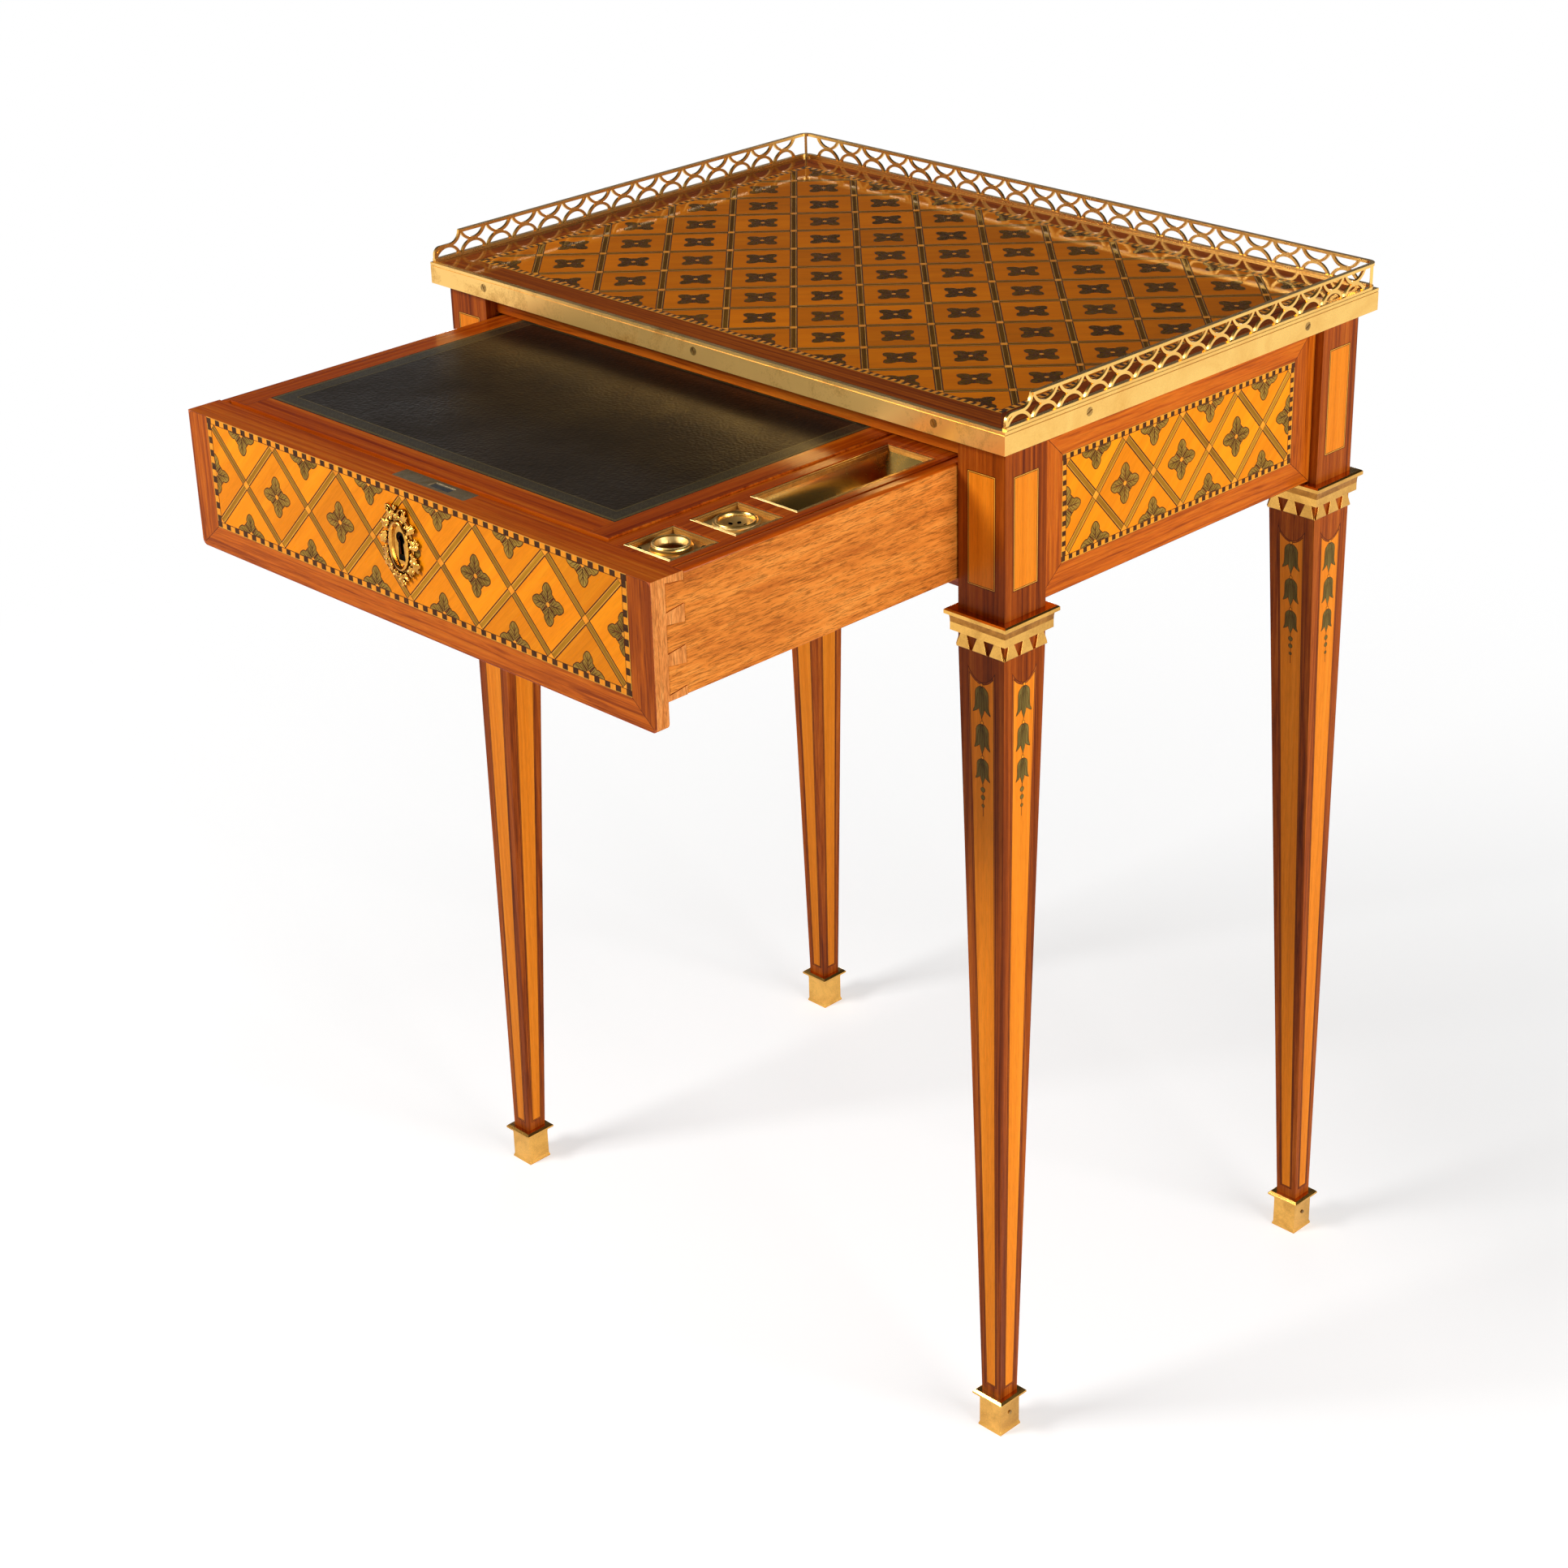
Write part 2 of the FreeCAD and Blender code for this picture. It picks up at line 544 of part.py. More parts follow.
def collar():
    """Brass collar of the front right leg: lip, cove, fascia and a toothed skirt."""
    cx, cy = LEG_X - LEG_SQUARE / 2, -LEG_Y + LEG_SQUARE / 2
    half = LEG_SQUARE / 2
    z_lip = COLLAR_TOP - COLLAR_LIP_HEIGHT
    z_cove = z_lip - COLLAR_COVE_HEIGHT
    z_fascia = z_cove - COLLAR_FASCIA_HEIGHT
    lip = half + COLLAR_LIP
    profile = [(lip - MOULDING_EASE, COLLAR_TOP), (lip, COLLAR_TOP - MOULDING_EASE), (lip, z_lip)]
    profile += hollow(lip - COLLAR_COVE_TOP, half + COLLAR_FASCIA, z_lip, z_cove)
    profile += [(half + COLLAR_FASCIA, z_fascia), (half + COLLAR_SKIRT_TOP, z_fascia),
                (half + COLLAR_SKIRT, COLLAR_BOTTOM + MOULDING_EASE),
                (half + COLLAR_SKIRT_TOP, COLLAR_BOTTOM)]
    ring = square_moulding((cx, cy), profile)
    ring = ring.cut(leg_blank())
    return ring.cut(group(tooth_notches(cx, cy, z_fascia)))


def tooth_notches(cx, cy, top):
    """Wedge-shaped gaps of the skirt, wide above and narrow below, on all four faces."""
    face = LEG_SQUARE + 2 * COLLAR_SKIRT
    wedges = []
    for number in range(1, TEETH_PER_FACE):
        x = cx - face / 2 + face * number / TEETH_PER_FACE
        wide, narrow = TOOTH_NOTCH_TOP / 2, TOOTH_NOTCH_FOOT / 2
        y, foot = cy - face, COLLAR_BOTTOM - PAST
        outline = [(x - wide, y, top), (x + wide, y, top), (x + narrow, y, foot), (x - narrow, y, foot)]
        wedges.append(prism(outline, Vector(0, 2 * face, 0)))
    turned = []
    for wedge in wedges:
        other = wedge.copy()
        other.rotate(Vector(cx, cy, 0), Vector(0, 0, 1), 90)
        turned.append(other)
    return wedges + turned + corner_notches(cx, cy, top)


def corner_notches(cx, cy, top):
    """Gaps at the four corners of the skirt."""
    half = LEG_SQUARE / 2
    inset = TOOTH_NOTCH_TOP / 3
    notches = []
    near, far = half - inset, 2 * half
    for turn in range(4):
        upper = [(cx + near, cy + near, top), (cx + far, cy + near, top),
                 (cx + far, cy + far, top), (cx + near, cy + far, top)]
        tip = half + COLLAR_SKIRT_TOP
        lower = [(cx + tip, cy + tip, COLLAR_BOTTOM - PAST), (cx + far, cy + tip, COLLAR_BOTTOM - PAST),
                 (cx + far, cy + far, COLLAR_BOTTOM - PAST), (cx + tip, cy + far, COLLAR_BOTTOM - PAST)]
        notch = frustum(lower, upper)
        notch.rotate(Vector(cx, cy, 0), Vector(0, 0, 1), 90 * turn)
        notches.append(notch)
    return notches


def shoe():
    """Brass shoe of the front right leg: sole, flared foot, plain cup and moulded rim."""
    cx, cy = LEG_X - LEG_TOE / 2, -LEG_Y + LEG_TOE / 2
    half = LEG_TOE / 2
    body = half + SHOE_WALL
    z_rim = SHOE_HEIGHT - SHOE_RIM_HEIGHT
    z_cove = z_rim - SHOE_COVE_HEIGHT
    flange = half + SHOE_FLANGE
    profile = [(flange - SHOE_FLANGE_SLOPE, SHOE_HEIGHT), (flange, SHOE_HEIGHT - SHOE_FLANGE_SLOPE),
               (flange, z_rim)]
    profile += hollow(flange - MOULDING_EASE, body, z_rim, z_cove)
    profile += [(body, SHOE_FLARE_HEIGHT), (body + SHOE_FLARE, MOULDING_EASE), (body + SHOE_FLARE, 0.0)]
    cup = square_moulding((cx, cy), profile)
    return cup.cut(leg_blank()).cut(pin_shape())


def pin_shape():
    """Pin that holds the front right shoe, with its head on the right-hand face."""
    z = SHOE_HEIGHT / 2
    x = LEG_X + SHOE_WALL
    y = -LEG_Y + LEG_TOE / 2
    head = rod(x, y, z, PIN_HEAD_RADIUS, PIN_HEAD_HEIGHT, Vector(1, 0, 0))
    shank = rod(x - PIN_DEPTH, y, z, PIN_RADIUS, PIN_DEPTH, Vector(1, 0, 0))
    return fuse([head, shank])


def make_legs(mortises):
    """Legs with the mortises cut by the tenons of the front and back frames."""
    blank = leg_blank().cut(pin_shape())
    front = blank.cut(mortises["front"])
    back = mirror_y(blank).cut(mortises["back"])
    save_pair("leg_front", front)
    save_pair("leg_back", back)
    save_corners("collar", collar())
    save_corners("sabot", shoe())
    pin = pin_shape()
    pins = [pin, mirror_x(pin), mirror_y(pin), mirror_x(mirror_y(pin))]
    save("sabot_pins", group(pins))


# ---- frieze
def side_tenon(sign):
    """Tenon of the right-hand apron into the front (-1) or back (+1) leg."""
    middle = SIDE_FACE - APRON_THICK / 2
    y0, y1 = sorted((sign * LEG_IN_Y, sign * (LEG_IN_Y + TENON_LENGTH)))
    return box((middle - TENON_THICK / 2, y0, APRON_BOTTOM + TENON_SHOULDER),
               (middle + TENON_THICK / 2, y1, TOP_UNDER - TENON_SHOULDER))


def side_apron():
    """Right-hand apron with a tenon at each end."""
    board = box((SIDE_INNER, -LEG_IN_Y, APRON_BOTTOM), (SIDE_FACE, LEG_IN_Y, TOP_UNDER))
    return fuse([board, side_tenon(-1), side_tenon(1)])


def back_tenon():
    """Tenon of the back apron into the back right leg."""
    middle = BACK_FACE - APRON_THICK / 2
    return box((LEG_IN_X, middle - TENON_THICK / 2, APRON_BOTTOM + TENON_SHOULDER),
               (LEG_IN_X + TENON_LENGTH, middle + TENON_THICK / 2, TOP_UNDER - TENON_SHOULDER))


def back_apron():
    board = box((-LEG_IN_X, BACK_INNER, APRON_BOTTOM), (LEG_IN_X, BACK_FACE, TOP_UNDER))
    return fuse([board, back_tenon(), mirror_x(back_tenon())])


def rail_tenon(z0, z1):
    """Tenon of a front rail into the front right leg."""
    y0 = FRONT_FACE + LIP_THICK + RAIL_SHOULDER
    return box((LEG_IN_X, y0, z0 + RAIL_SHOULDER),
               (LEG_IN_X + TENON_LENGTH, -LEG_IN_Y - RAIL_SHOULDER, z1 - RAIL_SHOULDER))


def front_rail(y0, z0, z1):
    """Rail between the front legs with a tenon at each end."""
    board = box((-LEG_IN_X, y0, z0), (LEG_IN_X, RAIL_BACK, z1))
    tenon = rail_tenon(z0, z1)
    return fuse([board, tenon, mirror_x(tenon)])


def bolt_box(clearance, height):
    """Space of the lock bolt in the shut drawer, with a clearance all round."""
    y0 = FRONT_FACE + LOCK_MIDDLE - BOLT_THICK / 2
    return box((BOLT_LEFT - clearance, y0 - clearance, RIM - BOLT_SINK - BOLT_HEIGHT - clearance),
               (BOLT_LEFT + BOLT_WIDTH + clearance, y0 + BOLT_THICK + clearance, height))


def glue_block(x, y, turn):
    """Triangular block glued into the corner between an apron and the top."""
    block = prism([(0, 0, TOP_UNDER), (-GLUE_BLOCK, 0, TOP_UNDER), (0, 0, TOP_UNDER - GLUE_BLOCK)],
                  Vector(0, GLUE_BLOCK_LENGTH, 0))
    block.translate(Vector(0, -GLUE_BLOCK_LENGTH / 2, 0))
    block.rotate(Vector(0, 0, 0), Vector(0, 0, 1), turn)
    block.translate(Vector(x, y, 0))
    return block


def make_frieze():
    """Aprons, rails and the timbers that carry the drawer; returns the legs' mortises."""
    low0, low1 = APRON_BOTTOM + LOWER_RAIL_LIFT, RUNNER_TOP
    save_pair("side_apron", side_apron())
    save("back_apron", back_apron())
    upper = front_rail(FRONT_FACE, UPPER_RAIL_BOTTOM, TOP_UNDER)
    catch = bolt_box(2 * GAP, RIM - BOLT_SINK + BOLT_TRAVEL + CATCH_DEPTH)
    save("upper_front_rail", upper.cut(catch))
    save("lower_front_rail", front_rail(FRONT_FACE + LIP_THICK + GAP, low0, low1))
    runner = box((LEG_IN_X - RUNNER_WIDTH, RAIL_BACK, RUNNER_TOP - RUNNER_HEIGHT),
                 (LEG_IN_X, BACK_INNER, RUNNER_TOP))
    save_pair("drawer_runner", runner)
    guide = box((LEG_IN_X, -LEG_IN_Y, RUNNER_TOP - RUNNER_HEIGHT),
                (SIDE_INNER, LEG_IN_Y, RUNNER_TOP - RUNNER_HEIGHT + GUIDE_HEIGHT))
    save_pair("drawer_guide", guide)
    kicker = box((LEG_IN_X - RUNNER_WIDTH, RAIL_BACK, RIM + KICKER_GAP), (LEG_IN_X, BACK_INNER, TOP_UNDER))
    save_pair("drawer_kicker", kicker)
    blocks = []
    inset = GLUE_BLOCK_MARGIN + GLUE_BLOCK_LENGTH / 2
    for side in (-1, 1):
        along = side * (LEG_IN_Y - inset)
        blocks += [glue_block(SIDE_INNER, along, 0), glue_block(-SIDE_INNER, along, 180),
                   glue_block(side * (LEG_IN_X - inset), BACK_INNER, 90)]
    save("glue_blocks", group(blocks))
    rails = [rail_tenon(UPPER_RAIL_BOTTOM, TOP_UNDER), rail_tenon(low0, low1)]
    return {"front": group([side_tenon(-1)] + rails), "back": group([side_tenon(1), back_tenon()])}


# ---- drawer, in its shut place
def local(y):
    """Y of a place given as its distance behind the face of the drawer front."""
    return FRONT_FACE + y


def dovetails():
    """Tails at the front end of the right-hand drawer side, lapped into the drawer front."""
    shapes = []
    shoulder = local(DRAWER_FRONT_THICK)
    for number in range(DOVETAILS):
        z = SIDE_BOTTOM + SIDE_HEIGHT * (number + 0.5) / DOVETAILS
        outline = [(DRAWER_INNER, shoulder, z - DOVETAIL_ROOT / 2),
                   (DRAWER_INNER, shoulder, z + DOVETAIL_ROOT / 2),
                   (DRAWER_INNER, shoulder - DOVETAIL_LENGTH, z + DOVETAIL_END / 2),
                   (DRAWER_INNER, shoulder - DOVETAIL_LENGTH, z - DOVETAIL_END / 2)]
        shapes.append(prism(outline, Vector(SIDE_THICK, 0, 0)))
    return shapes


def drawer_side(floor):
    """Right-hand drawer side with its dovetails and the groove for the drawer bottom."""
    board = box((DRAWER_INNER, local(DRAWER_FRONT_THICK), SIDE_BOTTOM),
                (DRAWER_HALF, local(DRAWER_LENGTH), RIM))
    high = [edge for edge in board.Edges if edge.BoundBox.ZMin > SIDE_BOTTOM]
    upper = [edge for edge in high if edge.BoundBox.YLength > SIDE_THICK]
    return fuse([board.makeFillet(SIDE_ROUND, upper)] + dovetails()).cut(floor)


def keyhole(z, y0, y1):
    """Keyhole with its round eye at height z, from y0 to y1."""
    eye = rod(KEYHOLE_X, y0, z, KEYHOLE_RADIUS, y1 - y0, Vector(0, 1, 0))
    half = KEYHOLE_SLOT / 2
    slot = box((KEYHOLE_X - half, y0, z - KEYHOLE_LENGTH), (KEYHOLE_X + half, y1, z))
    return fuse([eye, slot])


def lock_space():
    """Mortise in the drawer front for the lock's case and its plate."""
    y0, y1 = local(LOCK_FRONT), local(DRAWER_FRONT_THICK - LOCK_BACK_LIP)
    case = box((LOCK_LEFT + LOCK_CASE_INSET, y0, RIM - LOCK_CASE_HEIGHT),
               (LOCK_RIGHT - LOCK_CASE_INSET, y1, RIM - LOCK_PLATE_THICK))
    plate = box((LOCK_LEFT, y0, RIM - LOCK_PLATE_THICK), (LOCK_RIGHT, y1, RIM))
    return case, plate


def drawer_front(floor):
    """Drawer front: full thickness above the runners, a thinner lip below them."""
    full = box((-DRAWER_HALF, local(0), SIDE_BOTTOM), (DRAWER_HALF, local(DRAWER_FRONT_THICK), RIM))
    lip = box((-DRAWER_HALF, local(0), APRON_BOTTOM), (DRAWER_HALF, local(LIP_THICK), SIDE_BOTTOM))
    low = [edge for edge in lip.Edges if edge.BoundBox.ZMax < SIDE_BOTTOM]
    lip = lip.makeFillet(FRONT_CORNER, [edge for edge in low if edge.BoundBox.YLength > LIP_THICK / 2])
    tails = dovetails()
    case, plate = lock_space()
    eye = keyhole(RIM - KEYHOLE_DROP, local(0) - PAST, local(LOCK_FRONT) + PAST)
    pins = group(escutcheon_pins())
    sockets = group(tails + [mirror_x(tail) for tail in tails])
    solid = fuse([full, lip]).cut(sockets).cut(floor)
    return solid.cut(fuse([case, plate])).cut(eye).cut(pins)


def drawer_floor():
    """Drawer bottom, held in grooves in the front and both sides."""
    reach = DRAWER_INNER + GROOVE_DEPTH
    return box((-reach, local(DRAWER_FRONT_THICK - GROOVE_DEPTH), FLOOR_BOTTOM),
               (reach, local(DRAWER_LENGTH), FLOOR_TOP))


def fitting_opening(y0, y1, half):
    """Stepped opening in the deck: a recess for the plate over a smaller well."""
    outer = half + PLATE_CLEARANCE
    inner = half - PLATE_LEDGE
    recess = box((FITTING_X - outer, local(y0 - PLATE_CLEARANCE), PLATE_BOTTOM - GAP),
                 (FITTING_X + outer, local(y1 + PLATE_CLEARANCE), RIM + PAST))
    well = box((FITTING_X - inner, local(y0 + PLATE_LEDGE), BEARER_TOP - PAST),
               (FITTING_X + inner, local(y1 - PLATE_LEDGE), PLATE_BOTTOM))
    return fuse([recess, well])


def compartment_deck():
    """Board over the right-hand side of the drawer with openings for the three fittings."""
    deck = box((PANEL_EDGE + DECK_GAP, local(DRAWER_FRONT_THICK), BEARER_TOP),
               (DRAWER_INNER, local(DRAWER_LENGTH), RIM))
    half = PLATE_SIZE / 2
    cuts = [fitting_opening(INKWELL_Y - half, INKWELL_Y + half, half),
            fitting_opening(POUNCE_Y - half, POUNCE_Y + half, half),
            fitting_opening(TRAY_START, TRAY_START + TRAY_LENGTH, TRAY_WIDTH / 2)]
    return deck.cut(group(cuts))


def make_drawer():
    floor = drawer_floor()
    side = drawer_side(floor)
    y0, y1 = local(DRAWER_FRONT_THICK), local(WELL_BACK)
    save_drawer("drawer_front", drawer_front(floor))
    save_drawer("drawer_side_right", side)
    save_drawer("drawer_side_left", mirror_x(side))
    save_drawer("drawer_bottom", floor)
    save_drawer("drawer_back", box((-DRAWER_INNER, y1, FLOOR_TOP),
                                   (DRAWER_INNER, local(DRAWER_LENGTH), BEARER_TOP)))
    save_drawer("well_divider", box((DIVIDER_LEFT, y0, FLOOR_TOP),
                                    (DIVIDER_LEFT + DIVIDER_THICK, y1, BEARER_TOP)))
    save_drawer("compartment_deck", compartment_deck())
    save_drawer("slide_bearer", box((-DRAWER_INNER, y0, BEARER_TOP - BEARER_HEIGHT),
                                    (-DRAWER_INNER + BEARER_WIDTH, y1, BEARER_TOP)))
    save_drawer("deck_bearer", box((DRAWER_INNER - DECK_BEARER_WIDTH, y0, BEARER_TOP - BEARER_HEIGHT),
                                   (DRAWER_INNER, y1, BEARER_TOP)))


# ---- writing slide
def make_writing_slide():
    x0, x1 = -DRAWER_INNER + GAP, PANEL_EDGE
    y0, y1 = local(PANEL_START), local(PANEL_START + PANEL_DEPTH)
    panel = box((x0, y0, PANEL_BOTTOM), (x1, y1, PANEL_TOP))
    leather = box((x0 + LEATHER_BORDER_SIDE, y0 + LEATHER_BORDER_END, PANEL_TOP - LEATHER_THICK),
                  (x1 - LEATHER_BORDER_SIDE, y1 - LEATHER_BORDER_END, PANEL_TOP))
    groove = rod(x0 - PAST, y0, PANEL_BOTTOM + PANEL_THICK / 2, PULL_GROOVE_RADIUS,
                 x1 - x0 + 2 * PAST, Vector(1, 0, 0))
    save_drawer("writing_panel", panel.cut(leather).cut(groove))
    save_drawer("writing_leather", leather)


# ---- inkwell, pounce pot and pen tray
def fitting_plate(y):
    """Square brass plate with a raised border."""
    half, inner = PLATE_SIZE / 2, PLATE_SIZE / 2 - PLATE_BORDER
    base = box((FITTING_X - half, local(y) - half, PLATE_BOTTOM),
               (FITTING_X + half, local(y) + half, PLATE_TOP))
    border = box((FITTING_X - half, local(y) - half, PLATE_TOP),
                 (FITTING_X + half, local(y) + half, PLATE_TOP + PLATE_BORDER_RISE))
    middle = box((FITTING_X - inner, local(y) - inner, PLATE_TOP),
                 (FITTING_X + inner, local(y) + inner, PLATE_TOP + PLATE_BORDER_RISE))
    return fuse([base, border.cut(middle)])


def cup(y):
    """Round pot that hangs under a plate."""
    up = Vector(0, 0, 1)
    z = PLATE_BOTTOM - CUP_DEPTH
    outer = rod(FITTING_X, local(y), z, CUP_RADIUS, CUP_DEPTH, up)
    inner = rod(FITTING_X, local(y), z + CUP_WALL, CUP_RADIUS - CUP_WALL, CUP_DEPTH, up)
    return outer.cut(inner)


def inkwell_plate():
    """Plate with a raised funnel mouth and four holes for quills."""
    up = Vector(0, 0, 1)
    y = local(INKWELL_Y)
    lean = INK_RING_RADIUS - INK_HOLE_RADIUS
    mouth = Part.makeCone(INK_RING_RADIUS, INK_RING_RADIUS - lean / 3, INK_RING_RISE,
                          Vector(FITTING_X, y, PLATE_TOP), up)
    throat = Part.makeCone(INK_HOLE_RADIUS, INK_RING_RADIUS - lean / 2, INK_RING_RISE,
                           Vector(FITTING_X, y, PLATE_TOP), up)
    bore = rod(FITTING_X, y, PLATE_BOTTOM - PAST, INK_HOLE_RADIUS, PLATE_THICK + 2 * PAST, up)
    holes = [bore, throat]
    for sx in (-1, 1):
        for sy in (-1, 1):
            holes.append(rod(FITTING_X + sx * QUILL_HOLE_OFFSET, y + sy * QUILL_HOLE_OFFSET,
                             PLATE_BOTTOM - PAST, QUILL_HOLE_RADIUS, PLATE_THICK + 2 * PAST, up))
    return fuse([fitting_plate(INKWELL_Y), mouth]).cut(group(holes))


def pounce_plate():
    """Plate with a dished, pierced sprinkler."""
    up = Vector(0, 0, 1)
    y = local(POUNCE_Y)
    ball = (DISH_RADIUS ** 2 + DISH_SINK ** 2) / (2 * DISH_SINK)
    centre = Vector(FITTING_X, y, PLATE_TOP + DISH_RIM - DISH_SINK + ball)
    rim = rod(FITTING_X, y, PLATE_TOP, DISH_RADIUS + DISH_SHEET, DISH_RIM, up)
    bowl = Part.makeSphere(ball + DISH_SHEET, centre).common(
        rod(FITTING_X, y, PLATE_BOTTOM - DISH_SINK, DISH_RADIUS, DISH_SINK + PLATE_THICK, up))
    solid = fuse([fitting_plate(POUNCE_Y), rim, bowl]).cut(Part.makeSphere(ball, centre))
    holes = [rod(FITTING_X, y, PLATE_BOTTOM - 2 * DISH_SINK, POUNCE_HOLE_RADIUS, 4 * DISH_SINK, up)]
    for number in range(POUNCE_HOLES):
        angle = 2 * math.pi * number / POUNCE_HOLES
        holes.append(rod(FITTING_X + POUNCE_HOLE_CIRCLE * math.cos(angle),
                         y + POUNCE_HOLE_CIRCLE * math.sin(angle),
                         PLATE_BOTTOM - 2 * DISH_SINK, POUNCE_HOLE_RADIUS, 4 * DISH_SINK, up))
    return solid.cut(group(holes))


def trough(half, depth, y0, y1, slope):
    """Round-bottomed trough shape with one sloping end at the back."""
    radius = (half ** 2 + depth ** 2) / (2 * depth)
    left, right = Vector(FITTING_X - half, y0, PLATE_TOP), Vector(FITTING_X + half, y0, PLATE_TOP)
    low = Vector(FITTING_X, y0, PLATE_TOP - depth)
    arc = Part.Arc(left, low, right).toShape()
    face = Part.Face(Part.Wire([arc, Part.makeLine(right, left)]))
    body = face.extrude(Vector(0, y1 - y0, 0))
    wedge = prism([(FITTING_X - radius, y1, PLATE_TOP), (FITTING_X - radius, y1, PLATE_TOP - 2 * depth),
                   (FITTING_X - radius, y1 - 2 * slope, PLATE_TOP - 2 * depth)],
                  Vector(2 * radius, 0, 0))
    return body.cut(wedge)


def pen_tray():
    """Pressed brass tray: flat rim and a round-bottomed trough."""
    half = TRAY_WIDTH / 2
    y0, y1 = local(TRAY_START), local(TRAY_START + TRAY_LENGTH)
    rim = box((FITTING_X - half, y0, PLATE_BOTTOM), (FITTING_X + half, y1, PLATE_TOP))
    inner = half - TRAY_RIM
    outside = trough(inner, TRAY_DEPTH, y0 + TRAY_RIM, y1 - TRAY_RIM, TRAY_END_SLOPE)
    inside = trough(inner - TRAY_WALL, TRAY_DEPTH - TRAY_WALL, y0 + TRAY_RIM + TRAY_WALL,
                    y1 - TRAY_RIM - TRAY_WALL, TRAY_END_SLOPE)
    return fuse([rim, outside]).cut(inside)


def make_fittings():
    save_drawer("inkwell_plate", inkwell_plate())
    save_drawer("inkwell_cup", cup(INKWELL_Y))
    save_drawer("pounce_plate", pounce_plate())
    save_drawer("pounce_cup", cup(POUNCE_Y))
    save_drawer("pen_tray", pen_tray())


# ---- lock and escutcheon
def escutcheon_pins():
    """Two pins that hold the escutcheon to the drawer front."""
    pins = []
    z = RIM - ESCUTCHEON_DROP
    for side in (-1, 1):
        height = z + side * ESCUTCHEON_PIN_SPREAD
        pins.append(rod(KEYHOLE_X, local(-ESCUTCHEON_THICK), height, PIN_RADIUS, PIN_DEPTH, Vector(0, 1, 0)))
        pins[-1] = fuse([pins[-1], rod(KEYHOLE_X, local(-ESCUTCHEON_THICK - PIN_HEAD_HEIGHT), height,
                                       PIN_HEAD_RADIUS, PIN_HEAD_HEIGHT, Vector(0, 1, 0))])
    return pins


def oval(width, height, y, thick):
    """Oval plate standing on the drawer front."""
    z = RIM - ESCUTCHEON_DROP
    ellipse = Part.Ellipse(Vector(KEYHOLE_X, y, z + height / 2), Vector(KEYHOLE_X + width / 2, y, z),
                           Vector(KEYHOLE_X, y, z))
    return Part.Face(Part.Wire([ellipse.toShape()])).extrude(Vector(0, -thick, 0))


def make_lock():
    case, plate = lock_space()
    channel = bolt_box(GAP, RIM + PAST)
    eye = keyhole(RIM - KEYHOLE_DROP, local(LOCK_FRONT) - PAST,
                  local(DRAWER_FRONT_THICK - LOCK_BACK_LIP - LOCK_SHEET))
    save_drawer("lock_case", case.cut(channel).cut(eye))
    save_drawer("lock_plate", plate.cut(channel))
    save_drawer("lock_bolt", bolt_box(0, RIM - BOLT_SINK))
    shield = oval(ESCUTCHEON_WIDTH, ESCUTCHEON_HEIGHT, local(0), ESCUTCHEON_THICK)
    boss = oval(BOSS_WIDTH, BOSS_HEIGHT, local(-ESCUTCHEON_THICK), ESCUTCHEON_BOSS)
    hole = keyhole(RIM - KEYHOLE_DROP, local(-3 * ESCUTCHEON_THICK), local(0) + PAST)
    pins = escutcheon_pins()
    save_drawer("escutcheon", fuse([shield, boss]).cut(hole).cut(group(pins)))
    save_drawer("escutcheon_pins", group(pins))


def main():
    os.makedirs("parts", exist_ok=True)
    make_top()
    make_gallery()
    make_legs(make_frieze())
    make_drawer()
    make_writing_slide()
    make_fittings()
    make_lock()


main()
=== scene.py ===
"""The finishes and ornament of a small marquetry writing table with a brass gallery."""
import json
import logging
import math
from contextlib import contextmanager
from dataclasses import dataclass, replace
from enum import Enum
from typing import Callable, Iterator, Sequence

import bmesh
import bpy
from mathutils import Matrix, Vector

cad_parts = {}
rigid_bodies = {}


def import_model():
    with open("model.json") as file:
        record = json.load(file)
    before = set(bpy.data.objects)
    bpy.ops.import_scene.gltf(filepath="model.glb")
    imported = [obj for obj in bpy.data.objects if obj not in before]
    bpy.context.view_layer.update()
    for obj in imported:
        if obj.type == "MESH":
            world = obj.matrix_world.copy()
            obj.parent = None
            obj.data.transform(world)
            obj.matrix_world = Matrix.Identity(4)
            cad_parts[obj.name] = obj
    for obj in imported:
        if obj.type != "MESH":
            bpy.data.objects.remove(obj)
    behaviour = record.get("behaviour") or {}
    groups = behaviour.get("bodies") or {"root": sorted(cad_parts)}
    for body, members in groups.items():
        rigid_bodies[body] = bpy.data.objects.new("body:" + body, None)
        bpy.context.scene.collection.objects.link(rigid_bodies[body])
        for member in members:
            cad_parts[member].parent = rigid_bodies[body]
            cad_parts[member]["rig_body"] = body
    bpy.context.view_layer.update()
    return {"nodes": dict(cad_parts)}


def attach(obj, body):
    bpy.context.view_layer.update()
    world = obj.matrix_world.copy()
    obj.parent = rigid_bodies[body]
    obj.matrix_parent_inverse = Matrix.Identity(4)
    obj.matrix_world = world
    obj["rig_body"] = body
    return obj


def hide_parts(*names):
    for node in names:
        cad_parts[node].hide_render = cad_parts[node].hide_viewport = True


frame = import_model()
LOG = logging.getLogger("writing_table")
MM = 0.001
SAME, NEAR = 1e-6, 1e-3  # distances in mm: too small to move a corner by, and small enough to be the same place
VENEER, THIN_VENEER = 0.4, 0.3  # how deep marquetry is let in, in mm, on the carcase and on the legs
Piece = bpy.types.Object
Point = tuple[float, float]
Triple = tuple[float, float, float]


